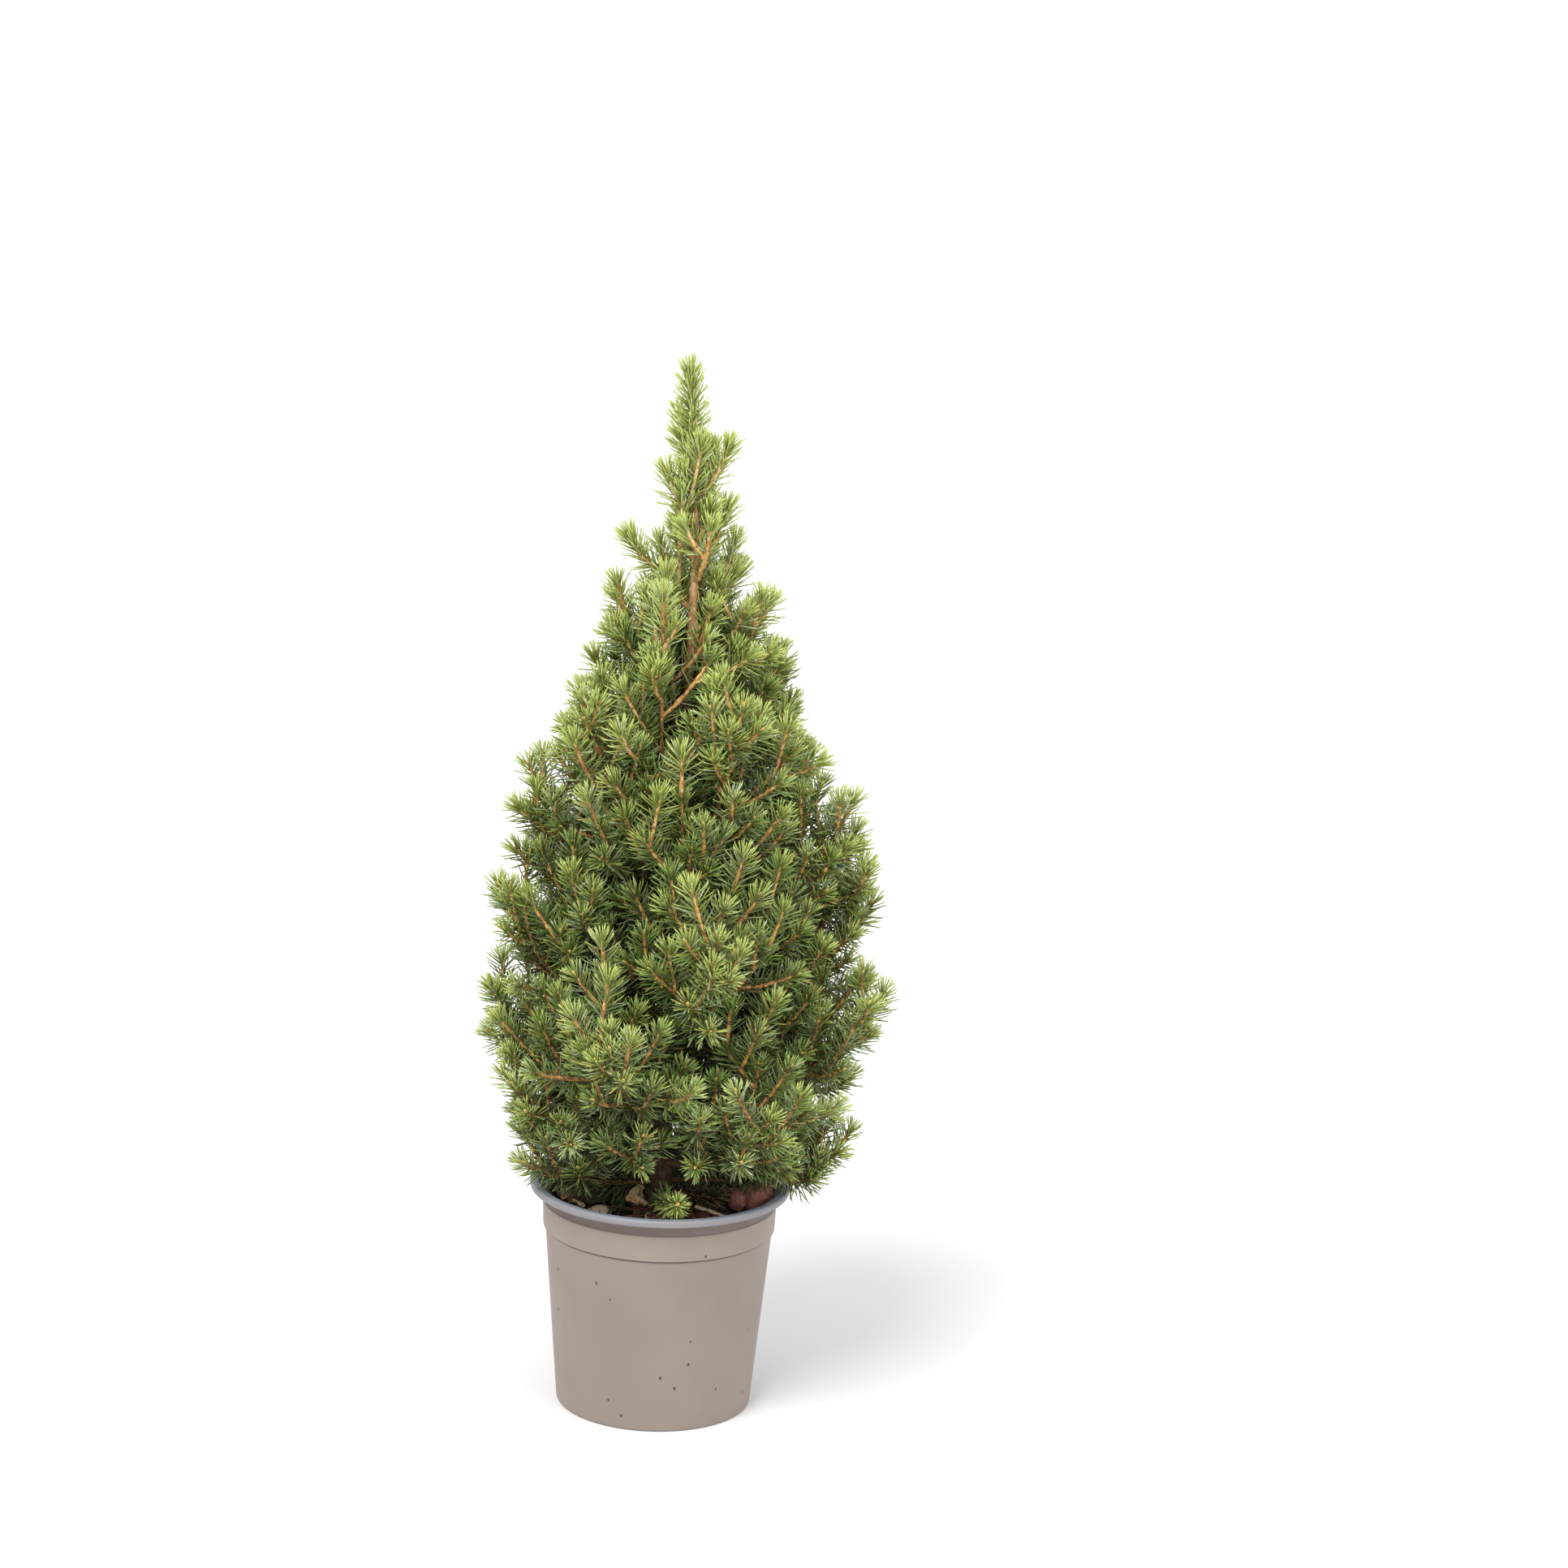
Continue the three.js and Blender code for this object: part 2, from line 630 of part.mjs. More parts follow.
// All shoots of a mass in one body. A shoot whose join isn't sound is turned a little and tried again.
function massGeometry(mass) {
  let whole = null;
  mass.shoots.forEach((shoot, i) => {
    for (let attempt = 0; attempt < MOST_TRIES; attempt++) {
      const seed = mass.seed * 13 + i + attempt * 0.37;
      const solid = toSolid(shootGeometry(shoot, seed, mass.name));
      const joined = whole ? whole.add(solid).simplify(SMALLEST_DETAIL) : solid;
      if (!isSound(joined)) continue;
      whole = joined;
      break;
    }
  });
  const [largest] = whole.decompose().sort((a, b) => b.volume() - a.volume());
  return toGeometry(largest);
}

const bark = new THREE.MeshStandardMaterial({ color: 0x8a6a48, roughness: 0.9, metalness: 0 });
const twig = new THREE.MeshStandardMaterial({ color: 0xa9743f, roughness: 0.85, metalness: 0 });
const foliage = new THREE.MeshStandardMaterial({ color: 0x4c7a35, roughness: 0.65, metalness: 0 });
const plastic = new THREE.MeshStandardMaterial({ color: 0x9a8f80, roughness: 0.5, metalness: 0 });
const peat = new THREE.MeshStandardMaterial({ color: 0x2b2019, roughness: 0.95, metalness: 0 });

const spruce = new THREE.Group();

function addPiece(name, geometry, material) {
  const mesh = new THREE.Mesh(geometry, material);
  mesh.name = name;
  spruce.add(mesh);
}

addPiece("pot", potGeometry(), plastic);
addPiece("soil", soilGeometry(), peat);
addPiece("trunk", trunkGeometry(), bark);
for (let i = 0; i < TRUNK_STEPS; i++) {
  const low = mix(TRUNK_FOOT, TRUNK_TIP, i / TRUNK_STEPS);
  const high = mix(TRUNK_FOOT, TRUNK_TIP, (i + 1) / TRUNK_STEPS);
  take(trunkAxis(low), trunkAxis(high), trunkRadius(low), "trunk");
}

const masses = [];
for (const bough of makeBoughs()) {
  const path = boughPath(bough, bough.limb ? BOUGH_RADIUS : STEM_RADIUS);
  if (bough.limb) {
    const limb = partOf(path, 0, BOUGH_SHARE);
    addPiece(`bough_${bough.name}`, boughGeometry(limb), twig);
    takePath(limb, BOUGH_RADIUS, `bough_${bough.name}`);
  }
  masses.push(massOnBough(bough, path));
}
masses.push(...leaderMasses(), topMass());

// The stems take their room first, then the side shoots, and the needles last
for (const mass of masses) takePath(mass.stem, STEM_RADIUS, mass.name, BUD);
for (const mass of masses) addSideShoots(mass);
for (const mass of masses) addPiece(mass.name, massGeometry(mass), foliage);

export default spruce;
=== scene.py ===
import math
from dataclasses import dataclass

import bpy
import numpy as np
from mathutils import Matrix, Vector
from mathutils.kdtree import KDTree


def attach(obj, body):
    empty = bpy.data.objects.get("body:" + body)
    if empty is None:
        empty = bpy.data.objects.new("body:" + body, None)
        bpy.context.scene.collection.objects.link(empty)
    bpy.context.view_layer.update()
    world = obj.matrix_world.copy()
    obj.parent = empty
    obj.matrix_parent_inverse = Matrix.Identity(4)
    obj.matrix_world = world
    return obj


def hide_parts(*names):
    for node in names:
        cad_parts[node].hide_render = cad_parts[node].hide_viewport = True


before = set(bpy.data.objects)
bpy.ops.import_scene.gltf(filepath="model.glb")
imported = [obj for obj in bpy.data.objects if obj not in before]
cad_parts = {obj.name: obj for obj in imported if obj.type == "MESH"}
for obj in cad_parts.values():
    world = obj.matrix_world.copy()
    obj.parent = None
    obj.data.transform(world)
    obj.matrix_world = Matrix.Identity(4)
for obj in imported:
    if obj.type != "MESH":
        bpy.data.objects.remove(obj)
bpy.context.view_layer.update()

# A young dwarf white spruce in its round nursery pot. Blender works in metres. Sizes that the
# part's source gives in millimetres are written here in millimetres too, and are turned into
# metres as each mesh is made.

MM = 0.001

# Sizes that the pot and the soil share with the part's source, in millimetres
POT_HEIGHT = 115.0
LIP_RADIUS = 65.0
LIP_THICKNESS = 3.8
NECK_RADIUS = 57.9
COLLAR_TOP = 104.5
COLLAR_TOP_RADIUS = 58.5
COLLAR_FOOT = 91.8
COLLAR_FOOT_RADIUS = 58.0
BODY_TOP_RADIUS = 56.8
BASE_RADIUS = 49.0
WALL = 1.2
FLOOR = 1.6
POT_SEGMENTS = 144
DRAIN_HOLES = 6
DRAIN_RADIUS = 4.0
DRAIN_CIRCLE = 34.0
SOIL_LEVEL = 103.0
GAP = 0.3

# Sizes of the trunk
TRUNK_FOOT = SOIL_LEVEL + GAP
TRUNK_TIP = 484.0
TRUNK_FOOT_RADIUS = 5.4
TRUNK_TIP_RADIUS = 1.3
FLARE = 2.6
FLARE_HEIGHT = 9.0
TRUNK_BOW = 6.0
TRUNK_SWAY = 3.0
TRUNK_STEPS = 24
TOP_BUD = 520.0

# The crown's reach from the middle of the pot at each height, and how much more of it there is
# towards +X than across, as a share
OUTLINE = np.array([
    (104, 60), (118, 77), (128, 86), (150, 92), (180, 98), (210, 103), (250, 98), (285, 94),
    (315, 88), (345, 77), (375, 61), (395, 49), (415, 42), (440, 33), (465, 23), (490, 16),
    (510, 10), (529, 2),
], float)
CROWN_LEAN = 0.08
TIP_INSET = 6.0

# Tiers of boughs: name, height on the trunk, height of the tips, how many, the first one's
# direction in degrees, how steeply they set off, whether they have a bare limb, and how many side
# shoots each has
TIERS = [
    ("skirt", 113, 138, 5, -80, 0.10, False, 4),
    ("low", 127, 174, 4, -55, 0.16, True, 6),
    ("belly", 150, 214, 4, -8, 0.18, True, 6),
    ("waist", 181, 264, 4, -74, 0.22, True, 6),
    ("breast", 216, 318, 4, -100, 0.26, True, 6),
    ("shoulder", 266, 368, 4, -58, 0.32, True, 5),
    ("neck", 334, 414, 4, -12, 0.36, False, 3),
]
SECOND_LEADER = {
    "name": "breast_1", "start": 190, "tip": 418, "reach": 43, "rise": 0.2, "shoots": 10,
}
LOW_FRONT = {"name": "skirt_1", "start": 110, "tip": 122, "reach": 60, "rise": 0.1, "shoots": 0}
LOW_FRONT_MASS = f"foliage_{LOW_FRONT['name']}"
TURN_SPREAD = 7
TIP_SPREAD = 7
FROM_SPREAD = 4

# Sizes of boughs and shoots
BOUGH_SHARE = 0.34
BOUGH_OUTWARD = 0.62
BOUGH_RADIUS = 2.9
BOUGH_TIP_RADIUS = 1.7
STEM_RADIUS = 1.5
SHOOT_RADIUS = 1.2
SHOOT_TIP_RADIUS = 0.9
SIDE_LENGTH = 56
SIDE_ANGLE = 50
SIDE_LIFT = 0.75
SHORTEST_SHOOT = 16
SHORTEN = 0.82
TIP_SHORTENING = 0.55
SINKING_SHORTENING = 0.6
FULL_BOUGH = 105
FIRST_SHARE = 0.04
FIRST_SHARE_ON_TRUNK = 0.25
LAST_SHARE = 0.86
SIDE_TURN = 40
SIDE_TURN_SPREAD = 20
SIDE_PLACE_SPREAD = 0.3
SINKING = -0.5
CROWDED_FOOT = 0.25
SHOOT_ROOM = 3.5
GOLDEN_ANGLE = 137.5
BUD_ROOM = 8.5
RIM_ROOM = 3
CLEAR_ABOVE = 1
HANG_PAST_LIP = 12
SEEDS_EACH = 13

# The leader's own short shoots
LEADER_SHOOTS = 7
LEADER_FROM = 392
LEADER_TO = 474
LEADER_TURN = 20
LEADER_LENGTH = 36
LEADER_SHORTENING = 9
LEADER_LEAN = 36
LEADER_SIDE_LENGTH = 24
BRANCHED_LEADER_SHOOTS = 3

UP = np.array([0.0, 0.0, 1.0])
SIDEWAYS = np.array([1.0, 0.0, 0.0])
NEAR_UPRIGHT = 0.98
THING_WAVE, TRAIT_WAVE, FIRST_WAVE, WAVE_HEIGHT = 127.1, 311.7, 74.7, 43758.5453


# ---- The growth rule of the part's source, which the finer twigs carry on ----


def mix(a, b, share):
    return a + (b - a) * share


def unit(vector):
    return vector / np.linalg.norm(vector, axis=-1, keepdims=True)


def away_at(azimuth):
    return np.array([math.cos(azimuth), math.sin(azimuth), 0.0])


def chance(thing, trait):
    """The same number from 0 to 1 for the same thing and trait, every time. A trait is a number
    that keeps one kind of chance apart from another."""
    wave = math.sin(thing * THING_WAVE + trait * TRAIT_WAVE + FIRST_WAVE) * WAVE_HEIGHT
    return wave - math.floor(wave)


def spread(thing, trait, amount):
    return (chance(thing, trait) * 2 - 1) * amount


def outline_at(z, azimuth):
    lean = 1 + CROWN_LEAN * np.cos(azimuth)
    return np.interp(z, OUTLINE[:, 0], OUTLINE[:, 1], right=0.0) * lean


def trunk_axis(z):
    """The trunk's centre line bows to one side and comes back under the tip."""
    t = np.clip((z - TRUNK_FOOT) / (TOP_BUD - TRUNK_FOOT), 0, 1)
    return np.array([TRUNK_BOW * np.sin(np.pi * t**2.4), TRUNK_SWAY * np.sin(2 * np.pi * t), z])


def trunk_radius(z):
    t = (z - TRUNK_FOOT) / (TRUNK_TIP - TRUNK_FOOT)
    flare = FLARE * math.exp(-(z - TRUNK_FOOT) / FLARE_HEIGHT)
    return mix(TRUNK_FOOT_RADIUS, TRUNK_TIP_RADIUS, max(t, 0) ** 1.1) + flare


def point_on(path, share):
    t = np.asarray(share, float)[..., None]
    return (1 - t) ** 2 * path[0] + 2 * t * (1 - t) * path[1] + t * t * path[2]


def heading(path, share):
    t = np.asarray(share, float)[..., None]
    return unit((1 - t) * (path[1] - path[0]) + t * (path[2] - path[1]))


def run_length(path):
    points = point_on(path, np.linspace(0, 1, 201))
    return np.linalg.norm(np.diff(points, axis=0), axis=1).sum()


def part_of(path, start, end):
    """The part of a curve between two shares of its run."""
    first, last = point_on(path, start), point_on(path, end)
    middle = 2 * point_on(path, (start + end) / 2) - (first + last) / 2
    return np.array([first, middle, last])


def across_of(tangent):
    """Two directions square to a tangent, the first one level."""
    reference = SIDEWAYS if abs(tangent[2]) > NEAR_UPRIGHT else UP
    level = unit(np.cross(tangent, reference))
    return level, unit(np.cross(level, tangent))


def bending_path(start, set_off, length, lift):
    """A run that leaves a point one way and bends upwards half way along."""
    finish = unit(set_off + UP * lift)
    middle = start + set_off * length / 2
    return np.array([start, middle, middle + finish * length / 2])


def side_path(stem, share, roll, length, angle=SIDE_ANGLE, lift=SIDE_LIFT):
    """A side shoot's run, which leaves the stem at an angle."""
    tangent = heading(stem, share)
    level, high = across_of(tangent)
    away = level * math.cos(roll) + high * math.sin(roll)
    lean = math.radians(angle)
    set_off = tangent * math.cos(lean) + away * math.sin(lean)
    return bending_path(point_on(stem, share), set_off, length, lift)


def bough_path(bough, radius):
    """Where a bough runs: it sets off nearly level, and climbs towards its tip."""
    away = away_at(bough["azimuth"])
    tip = away * bough["reach"] + UP * bough["tip"]
    axis = trunk_axis(bough["start"])
    middle = axis + away * bough["reach"] * BOUGH_OUTWARD
    middle = middle + UP * (bough["tip"] - bough["start"]) * bough["rise"]
    climb = unit(middle - axis)[2]
    start = axis + away * (trunk_radius(bough["start"]) + GAP + radius * climb)
    return np.array([start, middle, tip])


def clear_of_pot(point):
    """Foliage keeps above the soil and off the pot's wall and lip."""
    radius = math.hypot(point[0], point[1])
    if radius < NECK_RADIUS - RIM_ROOM:
        return point[2] > SOIL_LEVEL + CLEAR_ABOVE
    if radius > LIP_RADIUS + RIM_ROOM:
        return point[2] > POT_HEIGHT - HANG_PAST_LIP
    return point[2] > POT_HEIGHT + CLEAR_ABOVE


def inside_outline(point, inset=TIP_INSET - 1):
    reach = outline_at(point[2], math.atan2(point[1], point[0]))
    return math.hypot(point[0], point[1]) <= reach - inset


class Room:
    """What is taken up so far: straight runs with a thickness, and whose they are."""

    def __init__(self, most=4000):
        self.ends = np.zeros((most, 2, 3))
        self.thickness = np.zeros(most)
        self.owner = np.zeros(most, "U20")
        self.count = 0

    def take(self, start, end, thickness, owner):
        self.ends[self.count] = start, end
        self.thickness[self.count] = thickness
        self.owner[self.count] = owner
        self.count += 1

    def take_path(self, path, thickness, owner, bud=0.0):
        points = self.stations(path, bud)
        for start, end in zip(points, points[1:]):
            self.take(start, end, thickness, owner)

    def is_free(self, path, owner):
        points = self.stations(path, BUD_ROOM)
        return all(self.gap_is_free(a, b, owner) for a, b in zip(points, points[1:]))

    def gap_is_free(self, start, end, owner):
        """True if a straight run keeps its room clear of all that belongs to others."""
        others = self.owner[: self.count] != owner
        first = self.ends[: self.count, 0][others]
        last = self.ends[: self.count, 1][others]
        d1, d2, r = end - start, last - first, start - first
        a, b, c = d1 @ d1, d2 @ d1, r @ d1
        e, f = (d2 * d2).sum(1), (d2 * r).sum(1)
        below = a * e - b * b
        parallel = below <= 1e-9
        s = np.where(parallel, 0, np.clip((b * f - c * e) / np.where(parallel, 1, below), 0, 1))
        t = (b * s + f) / e
        outside = (t < 0) | (t > 1)
        t = np.clip(t, 0, 1)
        s = np.where(outside, np.clip((b * t - c) / a, 0, 1), s)
        gap = np.linalg.norm(start + s[:, None] * d1 - first - t[:, None] * d2, axis=1)
        need = SHOOT_RADIUS + self.thickness[: self.count][others] + SHOOT_ROOM
        return bool((gap > need).all())

    @staticmethod
    def stations(path, bud):
        points = list(point_on(path, np.linspace(0, 1, 7)))
        if bud:
            points.append(points[-1] + heading(path, 1.0) * bud)
        return points


@dataclass
class Shoot:
    """One leafy shoot: its run, its radius at both ends, its mass, its kind and its own number."""

    path: np.ndarray
    foot: float
    end: float
    mass: str
    kind: str
    seed: float

    @property
    def length(self):
        return run_length(self.path)


def make_boughs():
    boughs = []
    for level, (tier, start, tip, count, turn, rise, limb, shoots) in enumerate(TIERS):
        for i in range(count):
            seed = level * 10 + i
            stray = spread(seed, 1, TURN_SPREAD) if i else 0
            azimuth = math.radians(turn + 360 / count * i + stray)
            high = tip + (spread(seed, 2, TIP_SPREAD) if i else 0)
            bough = {
                "name": f"{tier}_{i + 1}",
                "tier": tier,
                "seed": seed,
                "azimuth": azimuth,
                "start": start + spread(seed, 3, FROM_SPREAD),
                "tip": high,
                "reach": outline_at(high, azimuth) - TIP_INSET,
                "rise": rise,
                "limb": limb,
                "shoots": shoots,
            }
            for special in (SECOND_LEADER, LOW_FRONT):
                if special["name"] == bough["name"]:
                    bough.update(special)
            boughs.append(bough)
    return boughs


def mass_on_bough(bough, path):
    length = run_length(path)
    stem = part_of(path, BOUGH_SHARE + GAP / length, 1) if bough["limb"] else path
    return {
        "name": f"foliage_{bough['name']}",
        "seed": bough["seed"] + 3,
        "stem": stem,
        "radius": STEM_RADIUS,
        "count": bough["shoots"],
        "first": FIRST_SHARE if bough["limb"] else FIRST_SHARE_ON_TRUNK,
        "side": SIDE_LENGTH * min(1, length / FULL_BOUGH),
    }


def leader_masses():
    """The short shoots along the leader, each leaning out of the trunk and turning upwards."""
    lean = math.radians(LEADER_LEAN)
    masses = []
    for i in range(LEADER_SHOOTS):
        share = i / (LEADER_SHOOTS - 1)
        height = mix(LEADER_FROM, LEADER_TO, share)
        azimuth = math.radians(i * GOLDEN_ANGLE + LEADER_TURN)
        away = away_at(azimuth)
        clear = trunk_radius(height) + GAP + SHOOT_RADIUS * math.cos(lean)
        start = trunk_axis(height) + away * clear
        set_off = away * math.sin(lean) + UP * math.cos(lean)
        masses.append({
            "name": f"foliage_leader_{i + 1}",
            "seed": 90 + i,
            "stem": bending_path(start, set_off, LEADER_LENGTH - LEADER_SHORTENING * share, 1),
            "radius": SHOOT_RADIUS,
            "count": 1 if i < BRANCHED_LEADER_SHOOTS else 0,
            "first": FIRST_SHARE_ON_TRUNK,
            "side": LEADER_SIDE_LENGTH,
        })
    return masses


def top_mass():
    """The top shoot, which carries the trunk's line on to the bud."""
    foot, end = trunk_axis(TRUNK_TIP + GAP), trunk_axis(TOP_BUD)
    path = np.array([foot, (foot + end) / 2, end])
    return {"name": "foliage_top", "seed": 99, "stem": path, "radius": SHOOT_RADIUS, "count": 0,
            "first": 0, "side": 0}


def side_shoots(mass, room):
    """Side shoots wind round the stem, each shortened until it is inside the crown and clear."""
    made = []
    name, seed = mass["name"], mass["seed"]
    for k in range(mass["count"]):
        place = (k + 0.5 + spread(seed, 20 + k, SIDE_PLACE_SPREAD)) / mass["count"]
        share = mix(mass["first"], LAST_SHARE, place)
        turn = k * GOLDEN_ANGLE + SIDE_TURN + spread(seed, 40 + k, SIDE_TURN_SPREAD)
        roll = math.radians(turn)
        sinking = SINKING_SHORTENING if math.sin(roll) < SINKING else 1
        length = mass["side"] * mix(1, TIP_SHORTENING, share) * sinking
        while length >= SHORTEST_SHOOT:
            path = side_path(mass["stem"], share, roll, length)
            ends = room.stations(path, BUD_ROOM)[1:]
            fits = all(map(clear_of_pot, ends)) and inside_outline(point_on(path, 1.0))
            if fits and room.is_free(part_of(path, CROWDED_FOOT, 1), name):
                room.take_path(path, SHOOT_RADIUS, name, BUD_ROOM)
                number = seed * SEEDS_EACH + k + 1
                made.append(Shoot(path, SHOOT_RADIUS, SHOOT_TIP_RADIUS, name, "side", number))
                break
            length *= SHORTEN
    return made


room = Room()
for i in range(TRUNK_STEPS):
    low = mix(TRUNK_FOOT, TRUNK_TIP, i / TRUNK_STEPS)
    high = mix(TRUNK_FOOT, TRUNK_TIP, (i + 1) / TRUNK_STEPS)
    room.take(trunk_axis(low), trunk_axis(high), trunk_radius(low), "trunk")

limbs = []
masses = []
for bough in make_boughs():
    path = bough_path(bough, BOUGH_RADIUS if bough["limb"] else STEM_RADIUS)
    if bough["limb"]:
        room.take_path(part_of(path, 0, BOUGH_SHARE), BOUGH_RADIUS, f"bough_{bough['name']}")
        limbs.append((bough, path))
    masses.append(mass_on_bough(bough, path))
masses += [*leader_masses(), top_mass()]
for mass in masses:
    room.take_path(mass["stem"], STEM_RADIUS, mass["name"], BUD_ROOM)

shoots = []
for mass in masses:
    number = mass["seed"] * SEEDS_EACH
    stem = Shoot(mass["stem"], mass["radius"], SHOOT_TIP_RADIUS, mass["name"], "stem", number)
    shoots += [stem, *side_shoots(mass, room)]


# ---- Finer twigs ----

# kind: spacing along the parent, length near the parent's foot and tip, first and last share of
# the parent's run, angle and lift
FINE_RULES = {
    "stem": (10.5, 50, 30, 0.05, 0.90, 43, 0.40),
    "side": (11.5, 38, 24, 0.16, 0.88, 40, 0.35),
}
FINE_PLACE_SPREAD = 0.35
FINE_TURN = 110
FINE_TURN_SPREAD = 30
FINE_ANGLE_SPREAD = 9
FINE_LENGTH_SPREAD = 0.22
FINE_SEEDS = (7, 0.61)
SHORTEST_TWIG = 13.0
STEEPER = (0.0, 0.6, 1.4)
TWIG_RADII = (1.2, 0.82)
TWIG_OFF_TRUNK = 2
TWIG_INSET = 2.0
TWIG_INSET_SPREAD = 12.0
OPEN_FOOT = 140.0
OPEN_FOOT_RADIUS = 56.0

# The strip before the upper trunk that stays open, because the trunk is in sight there
SIGHT_HEIGHTS = np.linspace(352.0, 481.25, 12)
SIGHT_AXIS = np.array([trunk_axis(z) for z in SIGHT_HEIGHTS])
HALF_SIGHT = 6.5
TWIG_SIGHT_TOP = 446.0
SIGHT_START = 3
SIGHT_DEPTH = 45.0


def off_trunk(point):
    height = min(point[2], TRUNK_TIP)
    return np.linalg.norm(point[:2] - trunk_axis(point[2])[:2]) - trunk_radius(height)


def above_foot(point):
    """The finer twigs leave the soil in sight: they start above it, but may hang past the rim."""
    return point[2] > OPEN_FOOT or math.hypot(point[0], point[1]) > OPEN_FOOT_RADIUS


def hides_trunk(points, top=TWIG_SIGHT_TOP, half=HALF_SIGHT):
    """Which points stand right before the upper trunk, which is in sight from the front."""
    across, ahead = (np.interp(points[:, 2], SIGHT_HEIGHTS, SIGHT_AXIS[:, i]) for i in (0, 1))
    high = (points[:, 2] > SIGHT_HEIGHTS[0]) & (points[:, 2] < top)
    before = (points[:, 1] < ahead - SIGHT_START) & (points[:, 1] > ahead - SIGHT_DEPTH)
    return high & before & (np.abs(points[:, 0] - across) < half)


def twig_fits(path):
    half, end = point_on(path, 0.6), point_on(path, 1.0)
    inset = TWIG_INSET + TWIG_INSET_SPREAD * chance(path[0][0], path[0][2])
    clear = all(
        clear_of_pot(point) and above_foot(point) and off_trunk(point) > TWIG_OFF_TRUNK
        for point in (half, end)
    )
    return clear and inside_outline(end, inset) and not hides_trunk(np.array([half, end])).any()


def fitted(make, length):
    """A twig turned upwards, and then shortened, until it is inside the crown, or None."""
    while length >= SHORTEST_TWIG:
        for steeper in STEEPER:
            path = make(length, steeper)
            if twig_fits(path):
                return path
        length *= SHORTEN
    return None


def keep_twig(made, path, mass, kind, seed, radii=TWIG_RADII):
    """Adds a twig to those made, if it has found a place."""
    if path is not None:
        made.append(Shoot(path, *radii, mass, kind, seed))


def fine_twigs(parent):
    """Twigs that wind round a shoot."""
    made = []
    if parent.mass == LOW_FRONT_MASS:
        return made
    spacing, longest, shortest, first, last, angle, lift = FINE_RULES[parent.kind]
    count = int(parent.length * (last - first) / spacing)
    for k in range(count):
        place = (k + 0.5 + spread(parent.seed, 60 + k, FINE_PLACE_SPREAD)) / count
        share = mix(first, last, place)
        turn = k * GOLDEN_ANGLE + FINE_TURN + spread(parent.seed, 90 + k, FINE_TURN_SPREAD)
        lean = angle + spread(parent.seed, 120 + k, FINE_ANGLE_SPREAD)
        more = 1 + spread(parent.seed, 150 + k, FINE_LENGTH_SPREAD)
        path = fitted(
            lambda size, steeper: side_path(
                parent.path, share, math.radians(turn), size, lean, lift + steeper
            ),
            mix(longest, shortest, share) * more,
        )
        number = parent.seed * FINE_SEEDS[0] + k * FINE_SEEDS[1]
        keep_twig(made, path, parent.mass, "fine", number)
    return made


# Shaded shoots on the trunk, and on the bare part of the limbs
INNER_SPACING = 4.2
INNER_FOOT = 122.0
INNER_TOP = 376.0
INNER_RISE = (0.35, 1.2)
INNER_LONGEST = 54
INNER_SHARE = 0.5
INNER_PAST_SHARE = 8
INNER_LENGTH_SPREAD = 0.3
INNER_LIFT = 0.4
INNER_RADII = (1.0, 0.6)
TRUNK_SINK = 0.3
ON_LIMB_SPACING = 7.0
ON_LIMB_LENGTH = 34
ON_LIMB_ANGLE = 52
ON_LIMB_RADII = (0.9, 0.6)
# A small shoot that leaves the trunk's foot towards the front
LOW_SPRAY = [(5.0, -5.5, 112.0), (15.0, -12.0, 110.5), (29.0, -19.0, 113.0)]


def shoot_on_trunk(height, azimuth, rise, length):
    away = away_at(azimuth)
    set_off = unit(away + UP * rise)
    start = trunk_axis(height) + away * (trunk_radius(height) - TRUNK_SINK)
    return fitted(
        lambda size, steeper: bending_path(start, set_off, size, INNER_LIFT + steeper), length
    )


def inner_shoots():
    """Shaded shoots that stand on the trunk and on the bare part of the limbs."""
    made = [Shoot(np.array(LOW_SPRAY), *INNER_RADII, "inner", "inner", 690)]
    for k in range(int((INNER_TOP - INNER_FOOT) / INNER_SPACING)):
        height = INNER_FOOT + k * INNER_SPACING + spread(k, 210, 2)
        azimuth = math.radians(k * GOLDEN_ANGLE + spread(k, 211, 20))
        rise = mix(*INNER_RISE, (height - INNER_FOOT) / (INNER_TOP - INNER_FOOT))
        reach = INNER_SHARE * outline_at(height, azimuth) + INNER_PAST_SHARE
        length = min(INNER_LONGEST, reach) * (1 + spread(k, 212, INNER_LENGTH_SPREAD))
        path = shoot_on_trunk(height, azimuth, rise, length)
        keep_twig(made, path, "inner", "inner", 700 + k, INNER_RADII)
    for number, (_, whole) in enumerate(limbs):
        limb = part_of(whole, 0, BOUGH_SHARE + 0.05)
        count = int(run_length(limb) / ON_LIMB_SPACING)
        for k in range(count):
            share = (k + 0.8 + spread(number, 220 + k, 0.3)) / (count + 0.6)
            roll = math.radians(k * GOLDEN_ANGLE + number * 50)
            path = fitted(
                lambda size, steeper: side_path(
                    limb, share, roll, size, ON_LIMB_ANGLE, INNER_LIFT + steeper
                ),
                ON_LIMB_LENGTH * (1 + spread(number, 240 + k, INNER_LENGTH_SPREAD)),
            )
            keep_twig(made, path, "inner", "inner", 900 + number * 20 + k, ON_LIMB_RADII)
    return made


LEADER_TWIG_SPACING = 9.0
LEADER_TWIG = 20.0
LEADER_TWIG_TURN = 75
LEADER_TWIG_RISE = 1.5
LEADER_TWIG_SPREAD = 0.2
LEADER_BARE = 436.0


